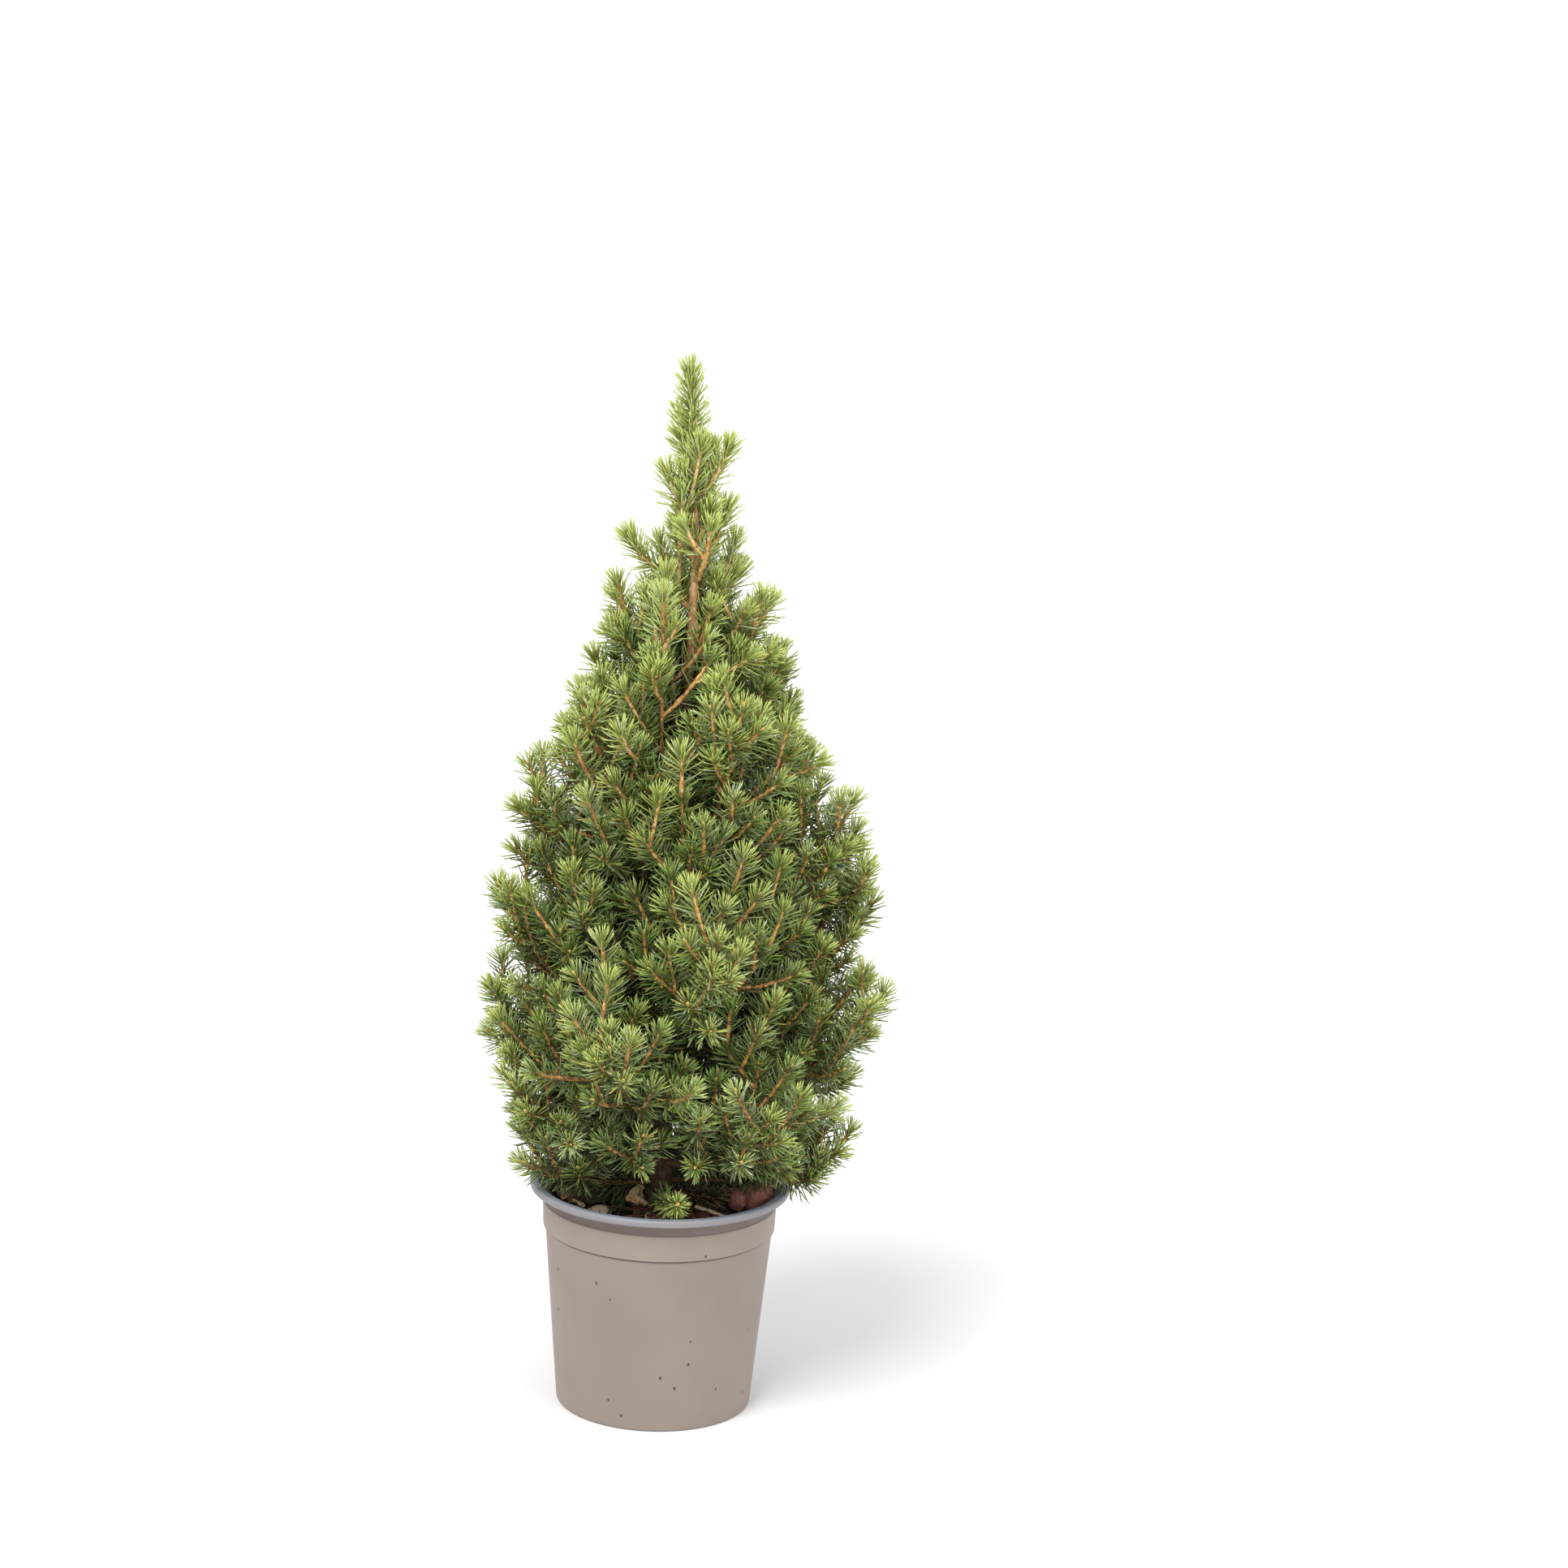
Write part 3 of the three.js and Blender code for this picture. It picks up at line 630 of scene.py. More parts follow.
def leader_twigs():
    """Short upright twigs between the leader's own shoots."""
    made = []
    for k in range(int((TRUNK_TIP - INNER_TOP) / LEADER_TWIG_SPACING)):
        height = INNER_TOP + k * LEADER_TWIG_SPACING
        azimuth = math.radians(k * GOLDEN_ANGLE + LEADER_TWIG_TURN)
        length = LEADER_TWIG * (1 + spread(k, 214, LEADER_TWIG_SPREAD))
        path = shoot_on_trunk(height, azimuth, LEADER_TWIG_RISE, length)
        keep_twig(made, path, "foliage_top", "fine", 1300 + k)
    return made


def leader_stem():
    """The upper trunk, which carries needles of its own like a shoot."""
    heights = LEADER_BARE, (LEADER_BARE + TRUNK_TIP) / 2, TRUNK_TIP
    run = np.array([trunk_axis(z) for z in heights])
    run[1] = 2 * run[1] - (run[0] + run[2]) / 2
    return Shoot(run, trunk_radius(LEADER_BARE), TRUNK_TIP_RADIUS, "foliage_top", "stem", 1400)


# Twigs that fill what is left empty: where their ends may be, and how they get there
FILL_ROUNDS = 3
FILL_TRIES = 2600
FILL_GAP = 13.0
FILL_REACH = 48.0
FILL_TOP = 415
FILL_SHARE = 0.80
FILL_HEART = 0.02
FILL_OUTER = 0.7
FILL_SAG = 0.07
FILL_CLIMB = 1.9
FILL_BACK = 24.0
FILL_ALONG = 0.35
MARK_STEP = 3


def tree_along(shoot_list):
    """Points every few millimetres along each shoot, in a tree that finds the nearest."""
    marks = np.concatenate([
        point_on(shoot.path, np.linspace(0.1, 1, max(3, round(shoot.length / MARK_STEP))))
        for shoot in shoot_list
    ])
    tree = KDTree(len(marks))
    for i, mark in enumerate(marks):
        tree.insert(mark, i)
    tree.balance()
    return tree


def filling_twigs(grown):
    """Twigs that grow from the nearest shoot into the empty places left in the crown."""
    rng = np.random.default_rng(31)
    made = []
    for turn in range(FILL_ROUNDS):
        whole = [*grown, *made]
        around = tree_along(whole)
        feet = tree_along([shoot for shoot in whole if shoot.mass != LOW_FRONT_MASS])
        filled = []
        for number in range(FILL_TRIES):
            height, azimuth = rng.uniform(OPEN_FOOT, FILL_TOP), rng.uniform(-math.pi, math.pi)
            away = away_at(azimuth)
            reach = outline_at(height, azimuth) * FILL_SHARE
            radius = reach * math.sqrt(rng.uniform(FILL_HEART, 1))
            goal = away * radius + UP * height
            crowded = any(np.linalg.norm(goal - other) < FILL_GAP for other in filled)
            if around.find(goal)[2] < FILL_GAP or crowded:
                continue
            growth = unit(away + UP * FILL_CLIMB)
            foot = np.array(feet.find(goal - growth * FILL_BACK)[0])
            gap = np.linalg.norm(goal - foot)
            path = np.array([foot, (foot + goal) / 2 - UP * FILL_SAG * gap, goal])
            ahead = unit(goal - foot) @ growth
            if gap < FILL_REACH and ahead > FILL_ALONG and twig_fits(path):
                filled.append(goal)
                kind = "fine" if radius > FILL_OUTER * reach else "inner"
                keep_twig(made, path, "filling", kind, 2000 + turn * FILL_TRIES + number)
    return made


fine = [twig for shoot in shoots for twig in fine_twigs(shoot)]
grown = [*shoots, *fine, *inner_shoots(), *leader_twigs()]
all_shoots = [*grown, *filling_twigs(grown)]
needled = [*all_shoots, leader_stem()]


# ---- Mesh and material helpers ----


def select_only(*pieces):
    """Selects these pieces and nothing else, and makes the first of them the active one."""
    for piece in bpy.context.selected_objects:
        piece.select_set(False)
    for piece in pieces:
        piece.select_set(True)
    if pieces:
        bpy.context.view_layer.objects.active = pieces[0]


def active_piece(name):
    piece = bpy.context.active_object
    piece.name = name
    piece.data.name = name
    return piece


def sized_piece(name, size):
    """The new primitive under its own name, brought to its size in millimetres."""
    piece = active_piece(name)
    piece.scale = [length * MM for length in size]
    bpy.ops.object.transform_apply(location=True, rotation=True, scale=True)
    return piece


def smooth_by_angle(piece, degrees):
    select_only(piece)
    bpy.ops.object.shade_smooth_by_angle(angle=math.radians(degrees))


def settle(piece, slot, *nodes):
    """Rides a piece on the one body and hides the CAD nodes that it stands for. Its slot is not
    used.
    """
    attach(piece, "root")
    if nodes:
        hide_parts(*nodes)


def joined_arrays(meshes):
    """One mesh's points, faces and tones from those of many."""
    points, faces, tones, start = [], [], [], 0
    for corners, corner_lists, colours in meshes:
        points.append(corners)
        faces.append(corner_lists + start)
        tones.extend(colours)
        start += len(corners)
    return np.concatenate(points), np.concatenate(faces), tones


def piece_from(name, arrays, finishes, slot, nodes=(), smooth=True):
    """One joined piece from arrays of points in millimetres, of faces and of their tones."""
    points, faces, tones = arrays
    mesh = bpy.data.meshes.new(name)
    mesh.from_pydata((points * MM).tolist(), [], faces.tolist())
    for finish in finishes:
        mesh.materials.append(finish)
    if len(finishes) > 1:
        mesh.polygons.foreach_set("material_index", np.asarray(tones, np.int32))
    if smooth:
        mesh.shade_smooth()
    mesh.update()
    piece = bpy.data.objects.new(name, mesh)
    bpy.context.scene.collection.objects.link(piece)
    settle(piece, slot, *nodes)


def new_finish(name, specular):
    material = bpy.data.materials.new(name)
    material.use_nodes = True
    shader = material.node_tree.nodes["Principled BSDF"]
    shader.inputs["Specular IOR Level"].default_value = specular
    return material, shader


def plain_finish(name, colour, roughness, specular=0.5):
    """A finish of one colour, which is dealt out to faces by place."""
    material, shader = new_finish(name, specular)
    shader.inputs["Base Color"].default_value = (*colour, 1)
    shader.inputs["Roughness"].default_value = roughness
    material.diffuse_color = (*colour, 1)
    return material


def patterned_finish(name, specular=0.5):
    """A finish for a pattern, with its tree and shader and the object coordinates it reads."""
    material, shader = new_finish(name, specular)
    tree = material.node_tree
    return material, tree, shader, tree.nodes.new("ShaderNodeTexCoord").outputs["Object"]


def new_node(tree, kind, inputs, **settings):
    """A node whose inputs are plain values or the outputs of other nodes."""
    node = tree.nodes.new(kind)
    for key, value in settings.items():
        setattr(node, key, value)
    for key, value in inputs.items():
        if isinstance(value, bpy.types.NodeSocket):
            tree.links.new(value, node.inputs[key])
        else:
            node.inputs[key].default_value = value
    return node


def ramp(tree, stops, factor):
    """A colour ramp of (position, colour) stops, fed by a factor."""
    node = new_node(tree, "ShaderNodeValToRGB", {"Fac": factor})
    elements = node.color_ramp.elements
    for element, (position, colour) in zip(elements, (stops[0], stops[-1])):
        element.position, element.color = position, (*colour, 1)
    for position, colour in stops[1:-1]:
        elements.new(position).color = (*colour, 1)
    return node.outputs["Color"]


def noise(tree, vector, scale, detail=4.0, rough=0.55):
    inputs = {"Vector": vector, "Scale": scale, "Detail": detail, "Roughness": rough}
    return new_node(tree, "ShaderNodeTexNoise", inputs).outputs["Fac"]


def stretched(tree, vector, scale):
    return new_node(tree, "ShaderNodeMapping", {"Vector": vector, "Scale": scale}).outputs["Vector"]


def height_of(tree, place):
    return new_node(tree, "ShaderNodeSeparateXYZ", {"Vector": place}).outputs["Z"]


def blended(tree, factor, first, second):
    """Two colours mixed by a factor; each may be a plain colour or an output."""
    first, second = ((*c, 1) if isinstance(c, tuple) else c for c in (first, second))
    inputs = {0: factor, 6: first, 7: second}
    return new_node(tree, "ShaderNodeMix", inputs, data_type="RGBA").outputs[2]


def scaled(tree, value, low, high, to_low=0.0, to_high=1.0):
    inputs = {
        "Value": value, "From Min": low, "From Max": high, "To Min": to_low, "To Max": to_high,
    }
    return new_node(tree, "ShaderNodeMapRange", inputs).outputs["Result"]


def product(tree, first, second):
    inputs = {0: first, 1: second}
    return new_node(tree, "ShaderNodeMath", inputs, operation="MULTIPLY").outputs["Value"]


def coat(tree, shader, colour, roughness, relief, strength, depth):
    """Gives the shader a pattern's colour and roughness, and its relief of a depth in metres."""
    inputs = {"Strength": strength, "Distance": depth, "Height": relief}
    normal = new_node(tree, "ShaderNodeBump", inputs).outputs["Normal"]
    for key, output in (("Base Color", colour), ("Roughness", roughness), ("Normal", normal)):
        tree.links.new(output, shader.inputs[key])


# Heights in metres where the painted shade at the bark's foot starts, going down, and is full, and
# where young bark starts, going up, and is full; then the colour of that painted shade
PAINTED_FOOT_SHADE_HEIGHTS = (0.170, 0.120)
YOUNG_HEIGHTS = (0.24, 0.40)
PAINTED_FOOT_SHADE = (0.045, 0.022, 0.014)


def bark_finish(name, dark, middle, light, scale, young=None):
    """Thin scaly bark: flaky plates over a paler ground, stretched along the trunk. Young bark,
    high on the trunk, is paler, and the bark near the soil is darkened by painted shade."""
    material, tree, shader, place = patterned_finish(name, 0.3)
    along = stretched(tree, place, (1, 1, 0.45))
    broad = noise(tree, along, scale * 0.25, 3)
    flakes = noise(tree, along, scale, 6, 0.65)
    height = height_of(tree, place)
    colour = ramp(tree, [(0.36, dark), (0.5, middle), (0.64, light)], flakes)
    colour = blended(tree, scaled(tree, broad, 0.35, 0.7, 0.0, 0.45), colour, dark)
    # Painted shade darkens the bark near the soil, under the crown
    colour = blended(tree, scaled(tree, height, *PAINTED_FOOT_SHADE_HEIGHTS, 0.0, 0.8), colour, PAINTED_FOOT_SHADE)
    if young:
        fresh = ramp(tree, [(0.37, dark), (0.44, young), (0.50, young), (0.62, light)], flakes)
        colour = blended(tree, scaled(tree, height, *YOUNG_HEIGHTS), colour, fresh)
    coat(tree, shader, colour, scaled(tree, flakes, 0.3, 0.7, 0.95, 0.7), flakes, 0.6, 0.0006)
    return material


POT_BODY = [
    (0.0, (0.224, 0.179, 0.147)), (0.5, (0.254, 0.204, 0.170)), (1.0, (0.289, 0.233, 0.195)),
]
# The neck, darkened as painted shade under the lip; the lip; its upper edge, lightened as a painted
# highlight; and its flat top: the height in metres where the colour starts and where it is full,
# how much of it there is, and the colour
POT_BANDS_AND_PAINTED_LIGHT = [
    # Painted shade under the lip, on the neck
    (0.1040, 0.1052, 0.75, (0.125, 0.090, 0.075)),
    (0.1108, 0.1120, 1.0, (0.216, 0.208, 0.223)),
    # A painted highlight along the lip's upper edge
    (0.1138, 0.1146, 1.0, (0.236, 0.240, 0.262)),
    (0.1147, 0.1149, 1.0, (0.212, 0.248, 0.300)),
]
# The painted shadow under the collar, a dark line: where it starts from below and from above
POT_SHADOW_LINE_FOOT = (0.0905, 0.0909)
POT_SHADOW_LINE_TOP = (0.0920, 0.0917)
POT_PAINTED_SHADOW_LINE = (0.085, 0.060, 0.048)
POT_STREAK = (0.25, 0.199, 0.158)
POT_DIRT = (0.05, 0.036, 0.026)


def pot_finish():
    """Satin taupe plastic, greyer and bluer on its lip, with fine scuffs and specks of dirt,
    painted shade under the lip and under the collar, and a painted highlight along the lip's upper
    edge.
    """
    material, tree, shader, place = patterned_finish("pot_plastic")
    height = height_of(tree, place)
    colour = ramp(tree, POT_BODY, noise(tree, place, 22, 3))
    # The pot's colour bands, with painted shade on the neck and a painted highlight on the lip's
    # edge
    for start, full, share, band in POT_BANDS_AND_PAINTED_LIGHT:
        colour = blended(tree, scaled(tree, height, start, full, 0.0, share), colour, band)
    shadow_edges = (scaled(tree, height, *heights) for heights in (POT_SHADOW_LINE_FOOT, POT_SHADOW_LINE_TOP))
    # A painted shadow line under the collar
    colour = blended(tree, product(tree, *shadow_edges), colour, POT_PAINTED_SHADOW_LINE)
    streaks = noise(tree, stretched(tree, place, (90, 90, 7)), 1.0, 4)
    colour = blended(tree, scaled(tree, streaks, 0.52, 0.72, 0.0, 0.16), colour, POT_STREAK)
    squat = stretched(tree, place, (1, 1, 0.7))
    cells = new_node(tree, "ShaderNodeTexVoronoi", {"Vector": squat, "Scale": 150})
    chosen = new_node(tree, "ShaderNodeSeparateColor", {"Color": cells.outputs["Color"]})
    near = scaled(tree, cells.outputs["Distance"], 0.12, 0.08)
    dirty = scaled(tree, chosen.outputs["Red"], 0.66, 0.68)
    colour = blended(tree, product(tree, near, dirty), colour, POT_DIRT)
    roughness = scaled(tree, noise(tree, place, 35, 4), 0.3, 0.7, 0.40, 0.56)
    coat(tree, shader, colour, roughness, noise(tree, place, 700, 2), 0.12, 0.0002)
    return material


def earth_finish(name, dark, middle, light, scale):
    """Grainy matt earth, bark or leaf, with painted shade in its hollows."""
    material, tree, shader, place = patterned_finish(name, 0.25)
    grain = noise(tree, place, scale, 8, 0.7)
    # The grain darkens the colour where the relief is low: painted shade in the hollows
    colour = ramp(tree, [(0.3, dark), (0.52, middle), (0.75, light)], grain)
    coat(tree, shader, colour, scaled(tree, grain, 0.3, 0.7, 0.98, 0.8), grain, 0.9, 0.0015)
    return material


POT = pot_finish()
BARK = bark_finish(
    "trunk_bark", (0.13, 0.068, 0.034), (0.28, 0.150, 0.07), (0.80, 0.56, 0.33), 480,
    (0.50, 0.270, 0.115),
)
LIMB_BARK = bark_finish(
    "limb_bark", (0.15, 0.075, 0.034), (0.33, 0.17, 0.07), (0.48, 0.28, 0.13), 1200
)
# Dark, middle and light colour, and how fine the grain is
PEAT, CHIP, MOSS, HUSK, PALE_HUSK_PAINTED_LIGHT, RED_BARK, PALE_WOOD, WET_LEAF = (
    earth_finish(*rule) for rule in (
        ("peat", (0.008, 0.006, 0.004), (0.026, 0.018, 0.012), (0.07, 0.05, 0.035), 420),
        ("bark_chip", (0.05, 0.02, 0.012), (0.14, 0.06, 0.035), (0.30, 0.15, 0.09), 350),
        ("moss", (0.015, 0.025, 0.006), (0.05, 0.075, 0.016), (0.14, 0.17, 0.04), 900),
        ("dry_husk", (0.26, 0.17, 0.09), (0.64, 0.53, 0.34), (0.86, 0.78, 0.56), 500),
        # A paler copy of the dry husk for the husks in sight: a paler leaf, lightened further as
        # painted light
        ("pale_husk_painted_light", (0.10, 0.05, 0.02), (0.86, 0.62, 0.33), (0.97, 0.88, 0.62), 420),
        ("red_bark", (0.22, 0.075, 0.055), (0.52, 0.215, 0.170), (0.66, 0.34, 0.27), 260),
        ("pale_wood", (0.36, 0.25, 0.15), (0.70, 0.55, 0.38), (0.85, 0.72, 0.54), 700),
        ("wet_leaf", (0.018, 0.026, 0.010), (0.060, 0.085, 0.030), (0.15, 0.18, 0.07), 300),
    )
)
DRY_NEEDLE = plain_finish("dry_needle", (0.125, 0.068, 0.036), 0.7, 0.3)

# Steps of the needles' colour from shaded to young, with their roughness, in three families, of
# which the last is duller
NEEDLE_STEPS = [
    ("shade", 0.48), ("deep", 0.46), ("green", 0.44), ("fresh", 0.43), ("spring", 0.42),
    ("lime", 0.42),
]
NEEDLE_FAMILIES = [
    ("", 0, (
        (0.055, 0.096, 0.020), (0.093, 0.153, 0.030), (0.146, 0.228, 0.042),
        (0.214, 0.316, 0.068), (0.327, 0.426, 0.094), (0.490, 0.590, 0.158),
    )),
    ("_sage", 0, (
        (0.070, 0.094, 0.038), (0.114, 0.152, 0.060), (0.173, 0.226, 0.090),
        (0.244, 0.314, 0.147), (0.346, 0.416, 0.199), (0.510, 0.600, 0.316),
    )),
    ("_olive", 0.02, (
        (0.080, 0.090, 0.017), (0.134, 0.142, 0.027), (0.212, 0.214, 0.039),
        (0.305, 0.298, 0.062), (0.425, 0.402, 0.090), (0.560, 0.575, 0.150),
    )),
]
NEEDLE_TONES = [
    plain_finish(f"needle_{step}{family}", colour, roughness + duller)
    for family, duller, colours in NEEDLE_FAMILIES
    for (step, roughness), colour in zip(NEEDLE_STEPS, colours)
]
NEEDLE_TONES.append(plain_finish("needle_dry", (0.280, 0.150, 0.060), 0.65))
# Where the sage and olive families and the dry tone start among the needle tones
SAGE, OLIVE, DRY = 6, 12, 18
TWIG_TONES = [
    plain_finish(f"twig_{tone}", colour, roughness, 0.3) for tone, colour, roughness in (
        ("brown", (0.165, 0.088, 0.034), 0.80),
        ("russet", (0.290, 0.155, 0.056), 0.78),
        ("orange", (0.440, 0.222, 0.070), 0.75),
        ("tan", (0.580, 0.300, 0.090), 0.72),
        ("pale", (0.710, 0.425, 0.158), 0.70),
        ("straw", (0.720, 0.480, 0.240), 0.70),
    )
]
BUD_TONES = [
    plain_finish("bud_russet", (0.42, 0.23, 0.07), 0.6),
    plain_finish("bud_gold", (0.60, 0.44, 0.13), 0.55),
]


# ---- Pot ----


def turn_profile(name, profile, segments, finish):
    """A ring extruded from point to point of a profile of [radius, height] pairs, closed at both
    poles."""
    select_only()
    radius, height = profile[0]
    bpy.ops.mesh.primitive_circle_add(
        vertices=segments, radius=radius * MM, fill_type="NOTHING", location=(0, 0, height * MM)
    )
    piece = active_piece(name)
    bpy.ops.object.transform_apply(location=True, rotation=True, scale=True)
    bpy.ops.object.mode_set(mode="EDIT")
    bpy.ops.mesh.select_mode(type="VERT")
    bpy.ops.mesh.select_all(action="SELECT")
    for (r0, z0), (r1, z1) in zip(profile, profile[1:]):
        bpy.ops.mesh.extrude_region_move(TRANSFORM_OT_translate={"value": (0, 0, (z1 - z0) * MM)})
        if r1 != r0:
            bpy.ops.transform.resize(value=(r1 / r0, r1 / r0, 1), center_override=(0, 0, z1 * MM))
    bpy.ops.mesh.edge_face_add()
    bpy.ops.mesh.poke()
    bpy.ops.mesh.select_all(action="DESELECT")
    bpy.ops.object.mode_set(mode="OBJECT")
    for i in range(segments):
        piece.data.vertices[i].select = True
    bpy.ops.object.mode_set(mode="EDIT")
    bpy.ops.mesh.edge_face_add()
    bpy.ops.mesh.poke()
    bpy.ops.mesh.select_all(action="SELECT")
    bpy.ops.mesh.normals_make_consistent(inside=False)
    bpy.ops.object.mode_set(mode="OBJECT")
    piece.data.materials.append(finish)
    return piece


def arc(centre, radius, start, end, steps):
    """Points of a profile's round corner, its angles in degrees."""
    angles = np.radians(np.linspace(start, end, steps))
    return [(centre[0] + radius * math.cos(a), centre[1] + radius * math.sin(a)) for a in angles]


def pot_profile():
    lip_foot = POT_HEIGHT - LIP_THICKNESS
    inner = NECK_RADIUS - WALL
    return [
        (6.0, 0.6),
        (43.0, 0.6),
        (43.8, 0.0),
        *arc((BASE_RADIUS - 1.5, 1.5), 1.5, -90, -8, 5),
        (BODY_TOP_RADIUS, COLLAR_FOOT - 1.0),
        (BODY_TOP_RADIUS + 0.15, COLLAR_FOOT - 0.7),
        *arc((COLLAR_FOOT_RADIUS - 0.35, COLLAR_FOOT + 0.1), 0.35, -70, 0, 4),
        (COLLAR_TOP_RADIUS, COLLAR_TOP - 0.5),
        *arc((COLLAR_TOP_RADIUS - 0.4, COLLAR_TOP), 0.4, 0, 80, 4),
        (NECK_RADIUS, COLLAR_TOP + 0.8),
        (NECK_RADIUS, lip_foot - 0.8),
        (NECK_RADIUS + 0.25, lip_foot - 0.25),
        (NECK_RADIUS + 0.9, lip_foot),
        *arc((LIP_RADIUS - 1.1, lip_foot + 1.1), 1.1, -90, 0, 5),
        *arc((LIP_RADIUS - 1.5, POT_HEIGHT - 1.5), 1.5, 0, 90, 7),
        *arc((LIP_RADIUS - 3.4, POT_HEIGHT - 0.85), 0.8, 90, 160, 4),
        (inner, POT_HEIGHT - 3.4),
        (inner, COLLAR_FOOT + WALL),
        (BODY_TOP_RADIUS - WALL, COLLAR_FOOT - 0.7),
        (BASE_RADIUS - WALL, 1.5 + FLOOR),
        (BASE_RADIUS - WALL - 1.5, FLOOR),
        (6.0, FLOOR),
    ]


DRAIN_SIDES = 32
DRAIN_DEPTH = 8


def drill_drains(pot):
    """Six round holes through the floor of the pot."""
    select_only()
    for i in range(DRAIN_HOLES):
        place = away_at(math.radians(i * 360 / DRAIN_HOLES)) * (DRAIN_CIRCLE * MM)
        bpy.ops.mesh.primitive_cylinder_add(
            vertices=DRAIN_SIDES, radius=DRAIN_RADIUS * MM, depth=DRAIN_DEPTH * MM, location=place
        )
        drill = bpy.context.active_object
        select_only(pot)
        cut = pot.modifiers.new("drain", "BOOLEAN")
        cut.operation = "DIFFERENCE"
        cut.solver = "EXACT"
        cut.object = drill
        bpy.ops.object.modifier_apply(modifier=cut.name)
        bpy.data.objects.remove(drill)


RIBS = 44
RIB_WIDTH = 0.5
RIB_DEPTH = 0.2
RIB_ROUNDING = 0.08


def neck_ribs():
    """Small ribs that stiffen the lip from below, one modelled and spun round the neck."""
    select_only()
    low, high = COLLAR_TOP + 0.2, POT_HEIGHT - LIP_THICKNESS + 0.3
    middle = (NECK_RADIUS * MM, 0, (low + high) / 2 * MM)
    bpy.ops.mesh.primitive_cube_add(size=1, location=middle)
    ribs = sized_piece("pot_neck_ribs", (RIB_DEPTH, RIB_WIDTH, high - low))
    bpy.ops.object.mode_set(mode="EDIT")
    bpy.ops.mesh.select_all(action="SELECT")
    bpy.ops.mesh.bevel(offset=RIB_ROUNDING * MM, segments=2, affect="EDGES")
    bpy.ops.mesh.select_all(action="SELECT")
    bpy.ops.mesh.spin(
        steps=RIBS, dupli=True, angle=2 * math.pi, center=(0, 0, 0), axis=(0, 0, 1)
    )
    bpy.ops.mesh.select_all(action="SELECT")
    bpy.ops.mesh.remove_doubles(threshold=0.00001)
    bpy.ops.mesh.normals_make_consistent(inside=False)
    bpy.ops.object.mode_set(mode="OBJECT")
    ribs.data.materials.append(POT)
    settle(ribs, "pot")


pot = turn_profile("pot_shell", pot_profile(), POT_SEGMENTS, POT)
drill_drains(pot)
smooth_by_angle(pot, 35)
settle(pot, "pot", "pot")
neck_ribs()


# ---- Soil ----

SOIL_RADIUS = BODY_TOP_RADIUS - WALL - 0.7
SOIL_DIP = 2.6
SOIL_SEGMENTS = 120
SOIL_RINGS = 38
CRUST_FOOT = 98


def cloud(name, size, depth=2):
    texture = bpy.data.textures.new(name, "CLOUDS")
    texture.noise_scale = size * MM
    texture.noise_depth = depth
    return texture


def push_out(piece, texture, strength, group="", direction="NORMAL"):
    """Relief of a texture pressed into a piece's mesh."""
    select_only(piece)
    press = piece.modifiers.new("relief", "DISPLACE")
    press.texture = texture
    press.texture_coords = "LOCAL"
    press.strength = strength * MM
    press.mid_level = 0.5
    press.direction = direction
    press.vertex_group = group
    bpy.ops.object.modifier_apply(modifier=press.name)


def soil_height(x, y):
    return SOIL_LEVEL - SOIL_DIP * (math.hypot(x, y) / SOIL_RADIUS) ** 3


def soil_bed():
    """The peat: a turned body whose top sinks towards the wall and is pressed into crumbs."""
    profile = [
        (3.0, FLOOR + GAP),
        (BASE_RADIUS - WALL - 2.2, FLOOR + GAP),
        (BASE_RADIUS - WALL - 0.7, FLOOR + GAP + 1.5),
        (SOIL_RADIUS, COLLAR_FOOT - 0.7),
        *((radius, soil_height(radius, 0)) for radius in np.linspace(SOIL_RADIUS, 1.5, SOIL_RINGS)),
    ]
    soil = turn_profile("soil_bed", profile, SOIL_SEGMENTS, PEAT)
    crust = soil.vertex_groups.new(name="crust")
    top = [
        v.index for v in soil.data.vertices
        if v.co.z / MM > CRUST_FOOT and math.hypot(v.co.x, v.co.y) / MM < SOIL_RADIUS - 0.5
    ]
    crust.add(top, 1.0, "REPLACE")
    push_out(soil, cloud("soil_lumps", 9), 3.4, "crust", "Z")
    push_out(soil, cloud("soil_crumbs", 2.6, 4), 2.2, "crust", "Z")
    smooth_by_angle(soil, 60)
    settle(soil, "soil", "soil")


soil_bed()

LEAF_TWIST = 0.8
LEAF_MIDDLE = 1.15
LEAF_TAPER = 2.6
LEAF_THICKNESS = 0.35


def lump(name, size, rough, seed, cuts=3):
    """A ragged lump: a box cut finer, pressed out of shape and left at the origin."""
    select_only()
    bpy.ops.mesh.primitive_cube_add(size=1, location=(0, 0, 0))
    piece = sized_piece(name, size)
    bpy.ops.object.mode_set(mode="EDIT")
    bpy.ops.mesh.select_all(action="SELECT")
    bpy.ops.mesh.subdivide(number_cuts=cuts, smoothness=0.6)
    bpy.ops.object.mode_set(mode="OBJECT")
    push_out(piece, cloud(f"{name}_relief", max(size) * 0.45 + seed * 0.13, 3), rough)
    return piece


